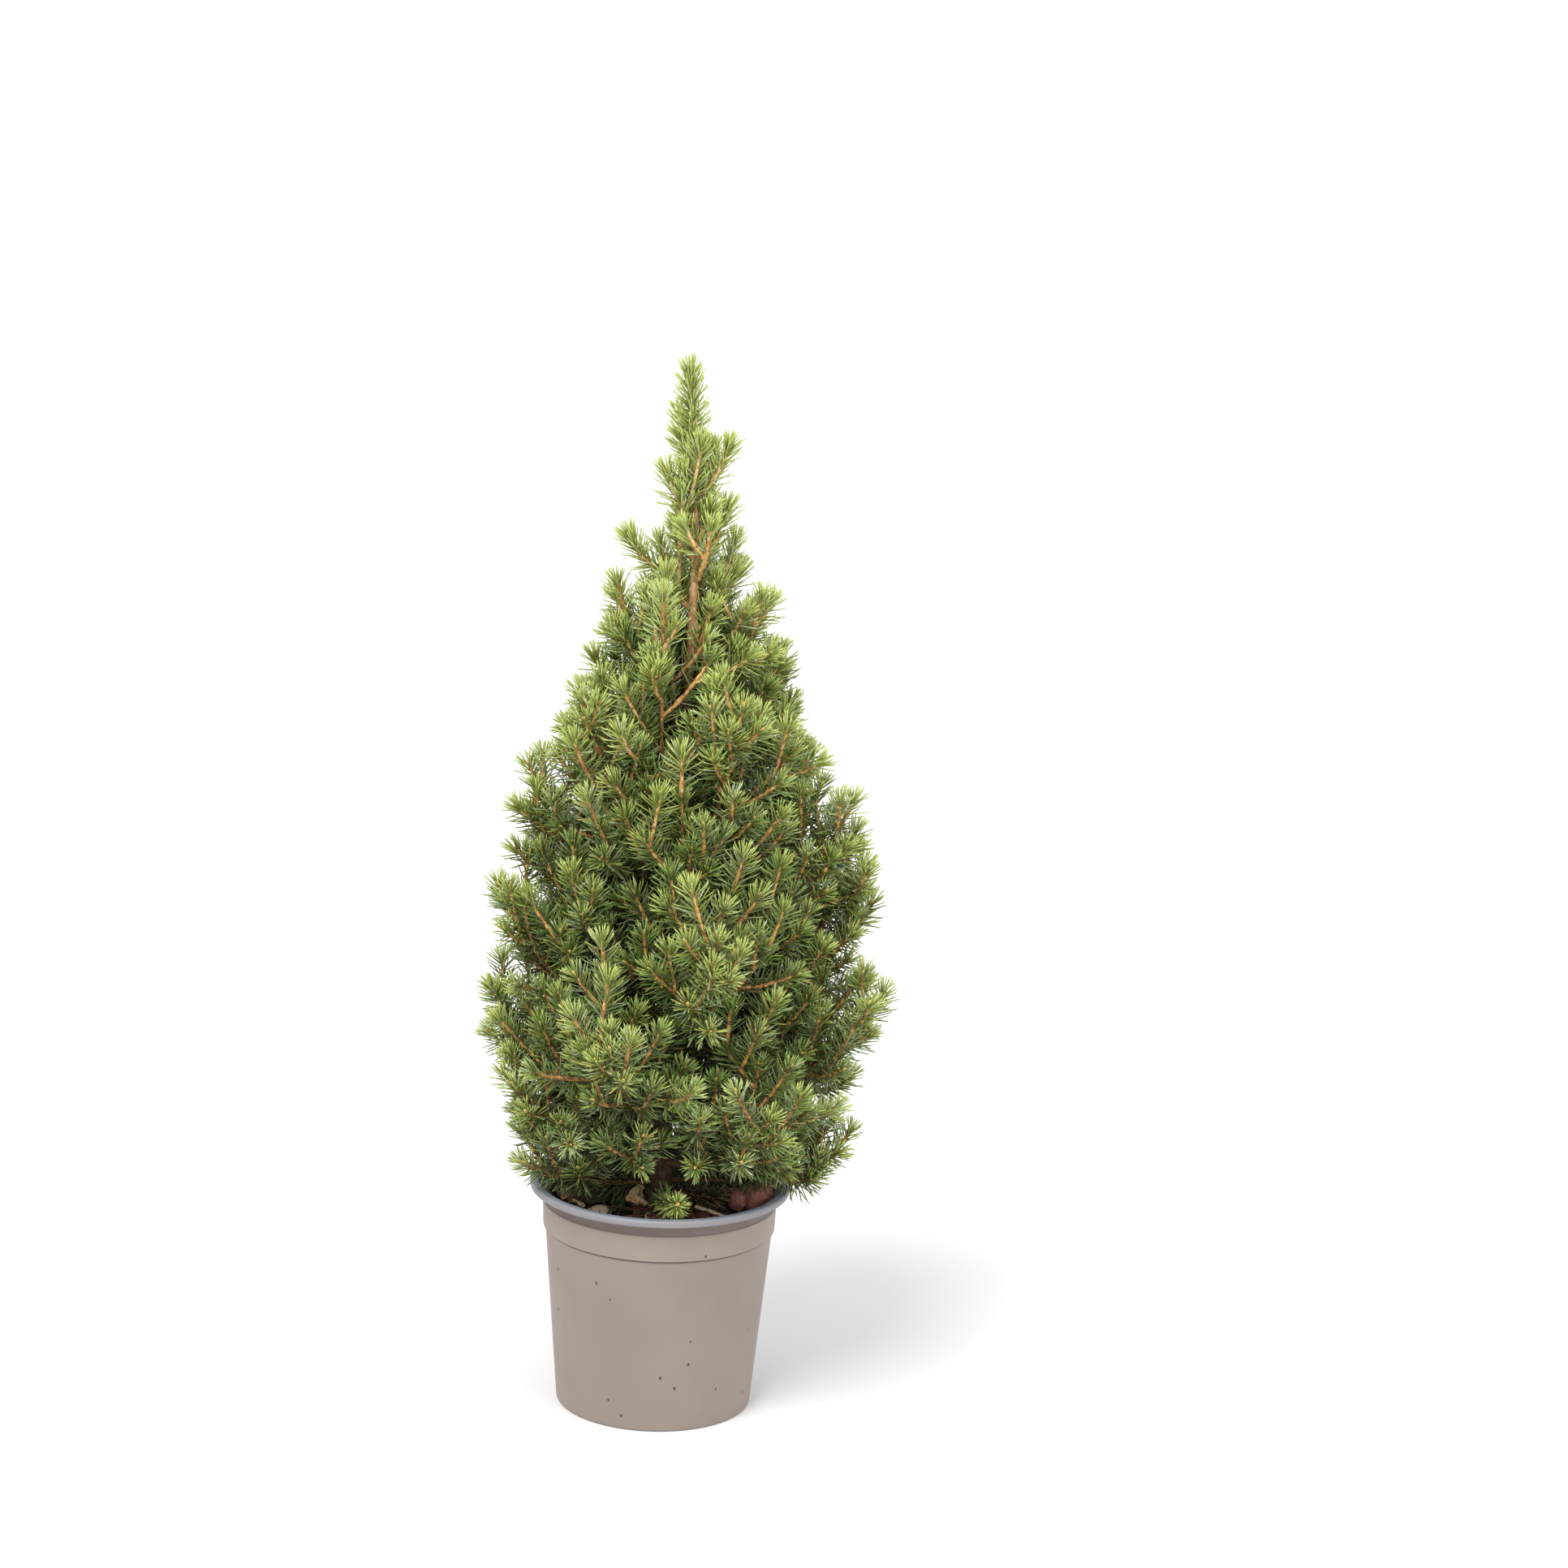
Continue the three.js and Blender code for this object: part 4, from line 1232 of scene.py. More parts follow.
def crumpled_leaf(name, size, curl, rough, seed):
    """A dry leaf: a thin sheet rolled along its length and crumpled, left at the origin."""
    select_only()
    bpy.ops.mesh.primitive_grid_add(x_subdivisions=12, y_subdivisions=8, size=1, location=(0, 0, 0))
    piece = sized_piece(name, (*size, 1))
    for corner in piece.data.vertices:
        along, across = corner.co.x / (size[0] * MM), corner.co.y / (size[1] * MM)
        turn = across * math.radians(curl) + along * LEAF_TWIST
        girth = size[1] * MM * (LEAF_MIDDLE - LEAF_TAPER * along * along)
        radius = girth / math.radians(curl)
        corner.co.y = radius * math.sin(turn)
        corner.co.z = radius * (1 - math.cos(turn))
    push_out(piece, cloud(f"{name}_relief", max(size) * 0.35 + seed * 0.11, 3), rough)
    thicken = piece.modifiers.new("thickness", "SOLIDIFY")
    thicken.thickness = LEAF_THICKNESS * MM
    bpy.ops.object.modifier_apply(modifier=thicken.name)
    return piece


def scatter(name, finish, models, places):
    """Copies of the models at the given places, joined: each place is x, y, height above the
    soil, turn, tip and size."""
    shapes = [
        (np.array([v.co for v in model.data.vertices]) / MM,
         np.array([face.vertices[:] for face in model.data.polygons]))
        for model in models
    ]
    copies = []
    for number, (x, y, above, turn, tip, size) in enumerate(places):
        corners, faces = shapes[number % len(shapes)]
        spin = np.array(Matrix.Rotation(turn, 3, "Z") @ Matrix.Rotation(tip, 3, "X"))
        copies.append((corners * size @ spin.T + [x, y, soil_height(x, y) + above], faces, []))
    for model in models:
        bpy.data.objects.remove(model)
    piece_from(name, joined_arrays(copies), [finish], "soil", smooth=False)


def soil_places(count, inner, outer, above, size_low, size_high, tip):
    """Random places on the soil between two distances from its middle."""
    places = []
    for _ in range(count):
        radius = math.sqrt(rng.uniform(inner**2, outer**2))
        turn = rng.uniform(0, 2 * math.pi)
        places.append((
            radius * math.cos(turn), radius * math.sin(turn), above, rng.uniform(0, 2 * math.pi),
            rng.uniform(-tip, tip), rng.uniform(size_low, size_high),
        ))
    return places


rng = np.random.default_rng(11)
scatter("bark_chips", CHIP, [
    lump("chip_a", (9, 5, 2.4), 2.0, 1),
    lump("chip_b", (6, 6, 2.8), 2.2, 2),
    lump("chip_c", (12, 4, 1.8), 1.8, 3),
], soil_places(95, 9, 51, 0.6, 0.5, 1.15, 0.5))
scatter("moss_tufts", MOSS, [
    lump("tuft_a", (5, 4, 3), 2.6, 4),
    lump("tuft_b", (7, 5, 2.6), 2.8, 5),
], soil_places(36, 14, 51, 0.4, 0.5, 1.2, 0.3))
scatter("dry_husks", HUSK, [
    crumpled_leaf("husk_a", (9, 5), 150, 1.8, 6),
    crumpled_leaf("husk_b", (6, 5), 210, 1.6, 7),
    crumpled_leaf("husk_c", (12, 7), 110, 2.6, 8),
], soil_places(30, 12, 51, 1.6, 0.45, 0.95, 0.9))
scatter("wet_leaves", WET_LEAF, [
    crumpled_leaf("leaf_a", (12, 8), 90, 2.4, 9),
    crumpled_leaf("leaf_b", (10, 7), 140, 2.2, 10),
], [
    (-31.4, -8.0, 2.6, 0.5, 0.3, 1.0),
    (-20.0, -13.0, 2.2, 2.2, -0.4, 0.9),
    *soil_places(16, 14, 50, 1.8, 0.5, 0.95, 0.5),
])

# The larger scraps that lie in sight behind the front of the lip
scatter("red_lump_large", RED_BARK, [lump("red_a", (11, 9, 9.5), 2.6, 11, 5)],
        [(49.0, -4.0, 8.6, 0.4, 0.2, 1.08)])
scatter("red_lump_small", RED_BARK, [lump("red_b", (5.5, 6, 7.5), 2.0, 12, 4)],
        [(39.5, -6.5, 6.2, 1.1, 0.3, 1.08)])
# The husks in sight take the husk finish lightened as painted light
scatter("large_husk", PALE_HUSK_PAINTED_LIGHT, [crumpled_leaf("husk_d", (13, 10), 170, 5.0, 13)],
        [(-12.6, -11.5, 6.4, 0.9, 1.15, 1.0), (-9.0, -15.0, 3.8, 2.6, 0.7, 0.7)])
scatter("curled_husks", PALE_HUSK_PAINTED_LIGHT, [crumpled_leaf("husk_e", (14, 5), 200, 2.0, 14)],
        [(-46.5, -9.5, 7.4, 1.3, 1.1, 1.0), (-41.0, -16.0, 4.2, 2.3, 0.5, 0.8)])
scatter("tan_chip", PALE_WOOD, [lump("chip_d", (8, 4, 2.6), 1.6, 15)],
        [(-28.5, -21.0, 1.8, 0.2, 0.2, 1.0), (-6.0, -6.0, 3.0, 0.9, 0.4, 0.45)])


# ---- Trunk and boughs ----


def limb_curve(name, points, radii, sides):
    """A limb drawn as a curve with a round section that follows its radius, and made a mesh."""
    curve = bpy.data.curves.new(name, "CURVE")
    curve.dimensions = "3D"
    curve.bevel_depth = MM
    curve.bevel_resolution = sides // 4
    curve.use_fill_caps = True
    line = curve.splines.new("POLY")
    line.points.add(len(points) - 1)
    for point, place, radius in zip(line.points, points, radii):
        point.co = (*(np.asarray(place) * MM), 1)
        point.radius = radius
    piece = bpy.data.objects.new(name, curve)
    bpy.context.scene.collection.objects.link(piece)
    select_only(piece)
    bpy.ops.object.convert(target="MESH")
    return bpy.context.active_object


def finish_limb(piece, finish, slot, *nodes):
    piece.data.materials.clear()
    piece.data.materials.append(finish)
    piece.data.shade_smooth()
    settle(piece, slot, *nodes)


FOOT_ZONE = 16
FOOT_IN_SOIL = 2.5
TRUNK_SIDES = 24
LIMB_SIDES = 12
LIMB_RINGS = 40
LIMB_OVERLAP = 0.06
LIMB_FOOT = 1.15
LIMB_END = 0.93


def trunk_piece():
    """The trunk, with more rings where it flares into the soil."""
    heights = np.concatenate([
        np.linspace(TRUNK_FOOT - FOOT_IN_SOIL, TRUNK_FOOT + FOOT_ZONE, 24)[:-1],
        np.linspace(TRUNK_FOOT + FOOT_ZONE, TRUNK_TIP, 230),
    ])
    points = [trunk_axis(z) for z in heights]
    radii = [trunk_radius(max(z, TRUNK_FOOT)) for z in heights]
    trunk = limb_curve("trunk_bark", points, radii, TRUNK_SIDES)
    push_out(trunk, cloud("bark_lumps", 7, 2), 0.9)
    push_out(trunk, cloud("bark_flakes", 2.0, 3), 1.1)
    finish_limb(trunk, BARK, "bark", "trunk")


def bare_limb(bough, path):
    """One limb, which sets off inside the trunk and ends inside the stem that carries it on."""
    shares = np.linspace(0, BOUGH_SHARE + LIMB_OVERLAP, LIMB_RINGS)
    points = [point_on(path, share) for share in shares]
    points.insert(0, mix(points[0], trunk_axis(bough["start"]), 0.5))
    radii = [BOUGH_RADIUS * LIMB_FOOT]
    for share in shares:
        taper = mix(BOUGH_RADIUS, BOUGH_TIP_RADIUS, min(share / BOUGH_SHARE, 1))
        radii.append(taper if share <= BOUGH_SHARE else taper * LIMB_END)
    return limb_curve(f"limb_{bough['name']}", points, radii, LIMB_SIDES)


def bough_pieces():
    """The limbs of each tier, with their bark, joined tier by tier."""
    for tier in dict.fromkeys(bough["tier"] for bough, _ in limbs):
        own = [(bough, path) for bough, path in limbs if bough["tier"] == tier]
        select_only(*[bare_limb(bough, path) for bough, path in own])
        bpy.ops.object.join()
        joined = active_piece(f"boughs_{tier}")
        push_out(joined, cloud(f"limb_lumps_{tier}", 5, 2), 0.7)
        push_out(joined, cloud(f"limb_flakes_{tier}", 1.6, 2), 0.4)
        finish_limb(joined, LIMB_BARK, "twig", *(f"bough_{bough['name']}" for bough, _ in own))


trunk_piece()
bough_pieces()


# ---- Twigs ----

# kind: sides of a twig, length between its rings, how much lighter it is, and the size of its bud
TWIG_RULES = {
    "stem": (5, 1.8, 1.7, 1.25),
    "side": (5, 1.8, 2.0, 1.25),
    "fine": (4, 1.9, 2.3, 0.95),
    "inner": (4, 8.0, 0.6, 0.95),
}
STRAIGHT = 1e-6
ON_TRUNK = 1.5
FOOT_SINK = 0.5
FOOT_SWELLING = 1.25
KNOBS = (0.72, 1.32)
# Steps of the twigs' colour: taken off everywhere; added by height, for younger twigs high up and
# as painted shade low down; taken off inside the crown's foot as painted shade; and how far bands
# and faces stray
TWIG_DARKER = 0.8
TWIG_AGE_AND_SHADE_BY_HEIGHT = ([110, 200, 260, 400, 450], [-1.5, -0.7, 0.3, 1.7, 2.3])
PAINTED_SHADE_INSIDE = 1.9
PAINTED_SHADE_BY_DISTANCE = ([30, 62], [1, 0])
PAINTED_SHADE_BY_HEIGHT = ([138, 170], [1, 0])
BAND_SPREAD = 0.6
FACE_SPREAD = 1.5
CROWN_TOP = 400
BUD_PROFILE = [(0.0, 0.62), (0.32, 1.0), (0.72, 0.62)]
BUD_SIDES = 5
BUD_LENGTH = (2.4, 3.2)
BUD_SINK = 0.4
GOLD_BUDS = 0.7


def follow(path, shares):
    """Points on a bending run, the way ahead at each, and two ways square to it, the first of
    which is square to the whole run, because that lies in one plane."""
    centres, tangents = point_on(path, shares), heading(path, shares)
    normal = np.cross(path[1] - path[0], path[2] - path[1])
    size = np.linalg.norm(normal)
    if size < STRAIGHT * np.linalg.norm(path[2] - path[0]) ** 2:
        normal, size = across_of(heading(path, 0.5))[0], 1
    level = np.broadcast_to(normal / size, tangents.shape)
    return centres, tangents, level, np.cross(tangents, level)


def turned(level, high, turns):
    """Directions square to a run, each turned round it from level towards high."""
    return level * np.cos(turns)[..., None] + high * np.sin(turns)[..., None]


def outer_share(point):
    """How near the crown's outside a point is, from 0 at its middle to 1."""
    azimuth = np.arctan2(point[..., 1], point[..., 0])
    reach = np.maximum(outline_at(point[..., 2], azimuth), 1.0)
    share = np.hypot(point[..., 0], point[..., 1]) / reach
    return np.where(point[..., 2] > CROWN_TOP, np.maximum(share, 0.8), np.minimum(share, 1))


def tube_faces(rings, sides):
    """Triangles of a closed run of rings, whose foot's and end's middles are the last points."""
    faces = []
    for band in range(rings - 1):
        for side in range(sides):
            a, b = band * sides + side, band * sides + (side + 1) % sides
            faces += [(a, b, b + sides), (a, b + sides, a + sides)]
    foot, end, last = rings * sides, rings * sides + 1, (rings - 1) * sides
    for side in range(sides):
        following = (side + 1) % sides
        faces += [(foot, following, side), (end, last + side, last + following)]
    return np.array(faces)


def twig_tones(centres, age, sides, rng):
    """Tones of a twig's faces: lighter outside and high in the crown, where twigs are younger, and
    darker low down and inside the crown's foot as painted shade.
    """
    tone = age + outer_share(centres.mean(0)) - TWIG_DARKER
    # Younger twigs lighter high up; painted shade darkens them low down
    tone = tone + np.interp(centres[0][2], *TWIG_AGE_AND_SHADE_BY_HEIGHT)
    from_axis = np.hypot(centres[1:, 0], centres[1:, 1])
    # Painted shade inside the crown's foot, near the trunk
    inside = PAINTED_SHADE_INSIDE * np.interp(from_axis, *PAINTED_SHADE_BY_DISTANCE)
    tone = tone - inside * np.interp(centres[1:, 2], *PAINTED_SHADE_BY_HEIGHT)
    bands = len(centres) - 1
    shade = tone[:, None] + rng.uniform(-BAND_SPREAD, BAND_SPREAD, (bands, 1))
    shade = shade + rng.uniform(-FACE_SPREAD, FACE_SPREAD, (bands, sides))
    tones = np.clip(np.round(shade), 0, len(TWIG_TONES) - 1).astype(int)
    return [*np.repeat(tones.ravel(), 2), *([tones[0, 0], tones[-1, 0]] * sides)]


def twig_mesh(shoot, rng):
    """A tapering knobbly twig, closed at both ends."""
    sides, step, age, _ = TWIG_RULES[shoot.kind]
    rings = max(3, round(shoot.length / step)) + 1
    shares = np.linspace(0, 1, rings)
    centres, _, level, high = follow(shoot.path, shares)
    radii = mix(shoot.foot, shoot.end, shares)[:, None] * rng.uniform(*KNOBS, (rings, sides))
    ring = turned(level[:, None], high[:, None], np.arange(sides) * 2 * np.pi / sides)
    if off_trunk(centres[0]) < ON_TRUNK:
        centres[0] = mix(centres[0], trunk_axis(centres[0][2]), FOOT_SINK)
        radii[0] *= FOOT_SWELLING
        radii[1] *= math.sqrt(FOOT_SWELLING)
    points = (centres[:, None] + ring * radii[..., None]).reshape(-1, 3)
    points = np.concatenate([points, centres[:1], centres[-1:]])
    return points, tube_faces(rings, sides), twig_tones(centres, age, sides, rng)


def bud_mesh(shoot, rng):
    """A small pointed bud at the end of a shoot."""
    end, along = point_on(shoot.path, 1.0), heading(shoot.path, 1.0)
    level, high = across_of(along)
    size = TWIG_RULES[shoot.kind][3]
    length = size * rng.uniform(*BUD_LENGTH)
    ring = turned(level, high, np.arange(BUD_SIDES) * 2 * np.pi / BUD_SIDES)
    rings = [
        end + along * (share * length - BUD_SINK) + ring * (radius * size)
        for share, radius in BUD_PROFILE
    ]
    points = np.concatenate([*rings, [end - along * BUD_SINK], [end + along * (length - BUD_SINK)]])
    faces = tube_faces(len(rings), BUD_SIDES)
    return points, faces, [int(rng.random() < GOLD_BUDS)] * len(faces)


# ---- Needles ----

# kind: needles on each millimetre, where the first one stands as a share of the run, and how much
# lighter they are
NEEDLE_RULES = {
    "stem": (2.4, 0.02, 0.02),
    "side": (2.5, 0.05, 0.0),
    "fine": (2.65, 0.08, -0.02),
    # The inner shoots' needles are darker: partly older needles, partly painted shade inside the
    # crown
    "inner": (1.55, 0.12, -0.30),
}
LOW_FRONT_CLOSER = 1.7
LEADER_CLOSER = 1.4
TOP_CLOSER = 1.5
TIP_NEEDLES = 14
TIP_BRUSH = 3.5

# Sizes of a needle, and how its size changes: at the shoot's tip and foot, and by height
NEEDLE = 13.0
NEEDLE_SPREAD = (0.84, 1.08)
NEEDLE_WIDTH = 0.37
NEEDLE_TAPER = 0.9
NEEDLE_BEND = 0.80
TIP_SIZE, TIP_SIZE_REACH = 0.72, 3.5
FOOT_SIZE, FOOT_SIZE_REACH = 0.8, 8
LOW_FRONT_SIZE = 0.76
SIZE_BY_HEIGHT = ([170, 330], [0.88, 0.97])

# How a needle stands: its lean from the twig in degrees, well behind the tip and at the tip, and
# the reach in which the one turns into the other; then how it strays, lifts and bends
NEEDLE_LEAN = (67.0, 34.0, 6.5)
LEADER_NEEDLE_LEAN = (56.0, 20.0, 10.0)
BRUSH_LEAN = (8, 42)
LEAN_SPREAD = 9
ROLL_SPREAD = 0.5
WAY_SPREAD = 0.05
NEEDLE_LIFT = 0.12
BEND_ALONG = 0.28
BEND_LIFT = 0.08
ROOT_DEPTH = 0.7

# Which needles are missing: on the side of a twig that faces out, and before the upper trunk
PARTING = 0.66
PARTING_LIFT = 0.35
PARTING_FROM_TIP = 9.0
SIGHT_NEEDLES = 0.3
SIGHT_BY_HEIGHT = ([440, 465], [HALF_SIGHT, 3.2])

# Tones of the needles, from 0 to 1 within their family, and the share of each family
BASE_TONE = 0.36
YOUNG_TONE = 0.50
YOUNG_LENGTH = 15.0
# Needles darker inside the crown and lighter outside: partly older needles, partly painted shade
OUTER_AGE_AND_SHADE_TONE, OUTER_MIDDLE = 0.42, 0.65
# Painted light and shade by height: needles darker low in the crown and lighter high up
PAINTED_LIGHT_BY_HEIGHT = ([110, 260, 340, 400, 450], [-0.01, 0.12, 0.23, 0.31, 0.56])
SHOOT_TONE_SPREAD = 0.14
NEEDLE_TONE_SPREAD = 0.07
LOW_FRONT_TONE = 0.50
SAGE_SHARE = (0.54, 0.10)
SAGE_BY_HEIGHT = ([110, 220, 330, 400], [0.22, 0, 0, -0.2])
SAGE_SPREAD = 0.2
LOW_FRONT_SAGE = 0.45
OLIVE_SHARE = 0.08
DYING = 0.003
DYING_INSIDE = ([116, 150], [0.5, 0.04])

NEEDLE_FACES = np.array([
    (0, 2, 1),
    (0, 1, 4), (0, 4, 3), (1, 2, 5), (1, 5, 4), (2, 0, 3), (2, 3, 5),
    (3, 4, 6), (4, 5, 6), (5, 3, 6),
])


def tier_of(mass):
    return mass.split("_")[1] if "_" in mass else mass


def parted(centre, along, out, from_tip, rng):
    """Which needles stay: fewer on the side that faces out of the crown, where the twig shows."""
    outwards = centre * [1, 1, 0]
    from_axis = np.maximum(np.linalg.norm(outwards, axis=1, keepdims=True), 1e-6)
    outwards = outwards / from_axis + UP * PARTING_LIFT
    outwards = outwards - along * (outwards * along).sum(1, keepdims=True)
    size = np.linalg.norm(outwards, axis=1)
    facing = (outwards * out).sum(1) / np.maximum(size, 1e-6)
    loss = PARTING * np.clip(facing * 1.2 + 0.15, 0, 1) * np.clip(size * 1.6, 0, 1)
    loss = loss * np.clip((from_tip - PARTING_FROM_TIP * 0.4) / PARTING_FROM_TIP, 0, 1)
    return rng.random(len(centre)) >= loss


def needle_steps(shoot, centre, from_tip, rng):
    """Where each needle's colour stands among the needle tones: lighter when young; darker inside
    the crown, partly older needles and partly painted shade; darker low down as painted shade and
    lighter high up as painted light; and bluer, yellower or dead by chance."""
    total, height, low_front = len(centre), centre[:, 2], shoot.mass == LOW_FRONT_MASS
    outer = outer_share(centre)
    youth = np.clip(1 - from_tip / YOUNG_LENGTH, 0, 1)
    # Darker inside the crown: partly older needles, partly painted shade
    tone = BASE_TONE + YOUNG_TONE * youth * outer**2 + OUTER_AGE_AND_SHADE_TONE * (outer - OUTER_MIDDLE)
    # Painted shade low down and painted light high up
    tone = tone + NEEDLE_RULES[shoot.kind][2] + np.interp(height, *PAINTED_LIGHT_BY_HEIGHT)
    stray = SHOOT_TONE_SPREAD * rng.uniform(-1, 1) + rng.normal(0, NEEDLE_TONE_SPREAD, total)
    tone = tone + (stray + LOW_FRONT_TONE * low_front)
    step = np.clip(np.floor(tone * SAGE), 0, SAGE - 1).astype(int)
    sage_share = mix(*SAGE_SHARE, youth) + np.interp(height, *SAGE_BY_HEIGHT)
    sage_share += SAGE_SPREAD * rng.uniform(-1, 1) - LOW_FRONT_SAGE * low_front
    step += SAGE * (rng.random(total) < sage_share)
    is_olive = rng.random(total) < OLIVE_SHARE * (1 + rng.uniform(-1, 1)) * (not low_front)
    step[is_olive] = step[is_olive] % SAGE + OLIVE
    dying = np.interp(height, *DYING_INSIDE) if shoot.kind == "inner" else DYING
    step[rng.random(total) < dying * (height < INNER_TOP)] = DRY
    return step


def needle_arrays(shoot, rng):
    """Roots, middles, tips, directions and tones of the needles of one shoot."""
    length, low_front = shoot.length, shoot.mass == LOW_FRONT_MASS
    leader = tier_of(shoot.mass) in ("leader", "top")
    closer = LOW_FRONT_CLOSER if low_front else LEADER_CLOSER if leader else 1.0
    closer *= TOP_CLOSER if shoot.kind == "stem" and shoot.mass == "foliage_top" else 1
    each_mm, start, _ = NEEDLE_RULES[shoot.kind]
    count = max(6, round(length * each_mm * closer))
    share = start + (1 - start) * (np.arange(count) + rng.uniform(0, 1, count)) / count
    share = np.concatenate([share, 1 - rng.uniform(0, TIP_BRUSH, TIP_NEEDLES) / length])
    total = len(share)
    roll = np.arange(total) * math.radians(GOLDEN_ANGLE)
    roll = roll + rng.uniform(-ROLL_SPREAD, ROLL_SPREAD, total) + shoot.seed
    centre, along, level, high = follow(shoot.path, share)
    out = turned(level, high, roll)
    from_tip = (1 - share) * length
    behind, at_tip, reach = LEADER_NEEDLE_LEAN if leader else NEEDLE_LEAN
    lean = mix(behind, at_tip, np.exp(-from_tip / reach))
    lean = np.radians(lean + rng.normal(0, LEAN_SPREAD, total))
    lean[count:] = np.radians(mix(*BRUSH_LEAN, rng.random(TIP_NEEDLES)))
    size = NEEDLE * rng.uniform(*NEEDLE_SPREAD, total)
    size = size * mix(1.0, TIP_SIZE, np.exp(-from_tip / TIP_SIZE_REACH))
    size *= LOW_FRONT_SIZE if low_front else 1
    size *= np.interp(centre[:, 2], *SIZE_BY_HEIGHT)
    size *= mix(FOOT_SIZE, 1.0, np.clip(share * length / FOOT_SIZE_REACH, 0, 1))
    ahead = along * np.cos(lean)[:, None] + out * np.sin(lean)[:, None]
    ahead = unit(ahead + UP * NEEDLE_LIFT + rng.normal(0, WAY_SPREAD, (total, 3)))
    root = centre + out * (mix(shoot.foot, shoot.end, share) * ROOT_DEPTH)[:, None]
    middle = root + ahead * (size * NEEDLE_BEND)[:, None]
    bent = unit(ahead + along * BEND_ALONG + UP * BEND_LIFT)
    tip = middle + bent * (size * (1 - NEEDLE_BEND))[:, None]
    step = needle_steps(shoot, centre, from_tip, rng)
    kept = np.ones(total, bool)
    if shoot.kind != "inner" and shoot.mass != "foliage_top":
        kept = parted(centre, along, out, from_tip, rng)
    half_sight = np.interp(middle[:, 2], *SIGHT_BY_HEIGHT)
    hiding = hides_trunk(middle, SIGHT_HEIGHTS[-1], half_sight)
    kept &= ~hiding | (rng.random(total) < SIGHT_NEEDLES)
    return tuple(part[kept] for part in (root, middle, tip, ahead, along, step))


def needle_solids(root, middle, tip, ahead, along, step):
    """Slim three-sided needles of ten faces each, bent a little before their point."""
    side = unit(np.cross(ahead, along))
    other = np.cross(ahead, side)
    count = len(root)
    points = np.zeros((count, 7, 3))
    for corner in range(3):
        turn = corner * 2 * math.pi / 3
        ring = side * math.cos(turn) + other * math.sin(turn)
        points[:, corner] = root + ring * NEEDLE_WIDTH
        points[:, corner + 3] = middle + ring * NEEDLE_WIDTH * NEEDLE_TAPER
    points[:, 6] = tip
    faces = NEEDLE_FACES[None] + np.arange(count)[:, None, None] * 7
    return points.reshape(-1, 3), faces.reshape(-1, 3), np.repeat(step, len(NEEDLE_FACES))


def needle_mesh(shoots, rng):
    parts = [needle_arrays(shoot, rng) for shoot in shoots]
    return needle_solids(*(np.concatenate(part) for part in zip(*parts)))


FALLEN = 320
FALLEN_SPREAD = 26
FALLEN_ROUND_TRUNK = 4
FALLEN_REACH = 50
FALLEN_ABOVE = 1.2
FALLEN_HEAP = 2.6
FALLEN_RISE = (-0.12, 0.42)
FALLEN_LENGTH = (8, 13)
FALLEN_DROOP = 0.3


def fallen_needles():
    """Dead needles that lie on the soil, thickest round the trunk."""
    rng = np.random.default_rng(77)
    radius = np.abs(rng.normal(0, FALLEN_SPREAD, FALLEN)) % FALLEN_REACH + FALLEN_ROUND_TRUNK
    turn = rng.uniform(0, 2 * np.pi, FALLEN)
    root = np.stack([radius * np.cos(turn), radius * np.sin(turn), np.zeros(FALLEN)], 1)
    root[:, 2] = [soil_height(x, y) + FALLEN_ABOVE for x, y in root[:, :2]]
    root[:, 2] += rng.uniform(0, FALLEN_HEAP, FALLEN)
    way, rise = rng.uniform(0, 2 * np.pi, FALLEN), rng.uniform(*FALLEN_RISE, FALLEN)
    ahead = unit(np.stack([np.cos(way), np.sin(way), rise], 1))
    size = rng.uniform(*FALLEN_LENGTH, FALLEN)
    middle = root + ahead * (size * NEEDLE_BEND)[:, None]
    tip = middle + unit(ahead - UP * FALLEN_DROOP) * (size * (1 - NEEDLE_BEND))[:, None]
    inside = np.hypot(tip[:, 0], tip[:, 1]) < SOIL_RADIUS - 1
    parts = [part[inside] for part in (root, middle, tip, ahead)]
    arrays = needle_solids(*parts, np.broadcast_to(UP, parts[0].shape), np.zeros(len(parts[0])))
    piece_from("fallen_needles", arrays, [DRY_NEEDLE], "soil")


def pale_stick():
    """A dead pale twig that lies on the soil behind the low front shoot."""
    ends = np.array([(18.5, -20.5, 108.2), (27.5, -24.2, 107.0), (36.0, -26.5, 104.8)])
    shares = np.linspace(0, 1, 14)
    radii = 1.05 - 0.35 * shares + 0.12 * np.sin(shares * 17)
    finish_limb(limb_curve("pale_stick", point_on(ends, shares), radii, 12), PALE_WOOD, "soil")


NEEDLE_PIECES = {
    "needles_foot": ("skirt", "low"),
    "needles_belly": ("belly",),
    "needles_waist": ("waist",),
    "needles_breast": ("breast",),
    "needles_shoulder": ("shoulder",),
    "needles_head": ("neck", "leader", "top"),
    "needles_inner": ("inner",),
    "needles_filling": ("filling",),
}


def foliage_pieces():
    """The needles piece by piece, each in place of its masses, and then all twigs and buds."""
    for number, (name, tiers) in enumerate(NEEDLE_PIECES.items()):
        own = [shoot for shoot in needled if tier_of(shoot.mass) in tiers]
        nodes = [mass["name"] for mass in masses if tier_of(mass["name"]) in tiers]
        arrays = needle_mesh(own, np.random.default_rng(100 + number))
        piece_from(name, arrays, NEEDLE_TONES, "foliage", nodes)
    rng = np.random.default_rng(200)
    for name, make, tones in (("twigs", twig_mesh, TWIG_TONES), ("buds", bud_mesh, BUD_TONES)):
        piece_from(name, joined_arrays([make(shoot, rng) for shoot in all_shoots]), tones, "twig")


foliage_pieces()
fallen_needles()
pale_stick()


# ---- Floor, light and camera ----


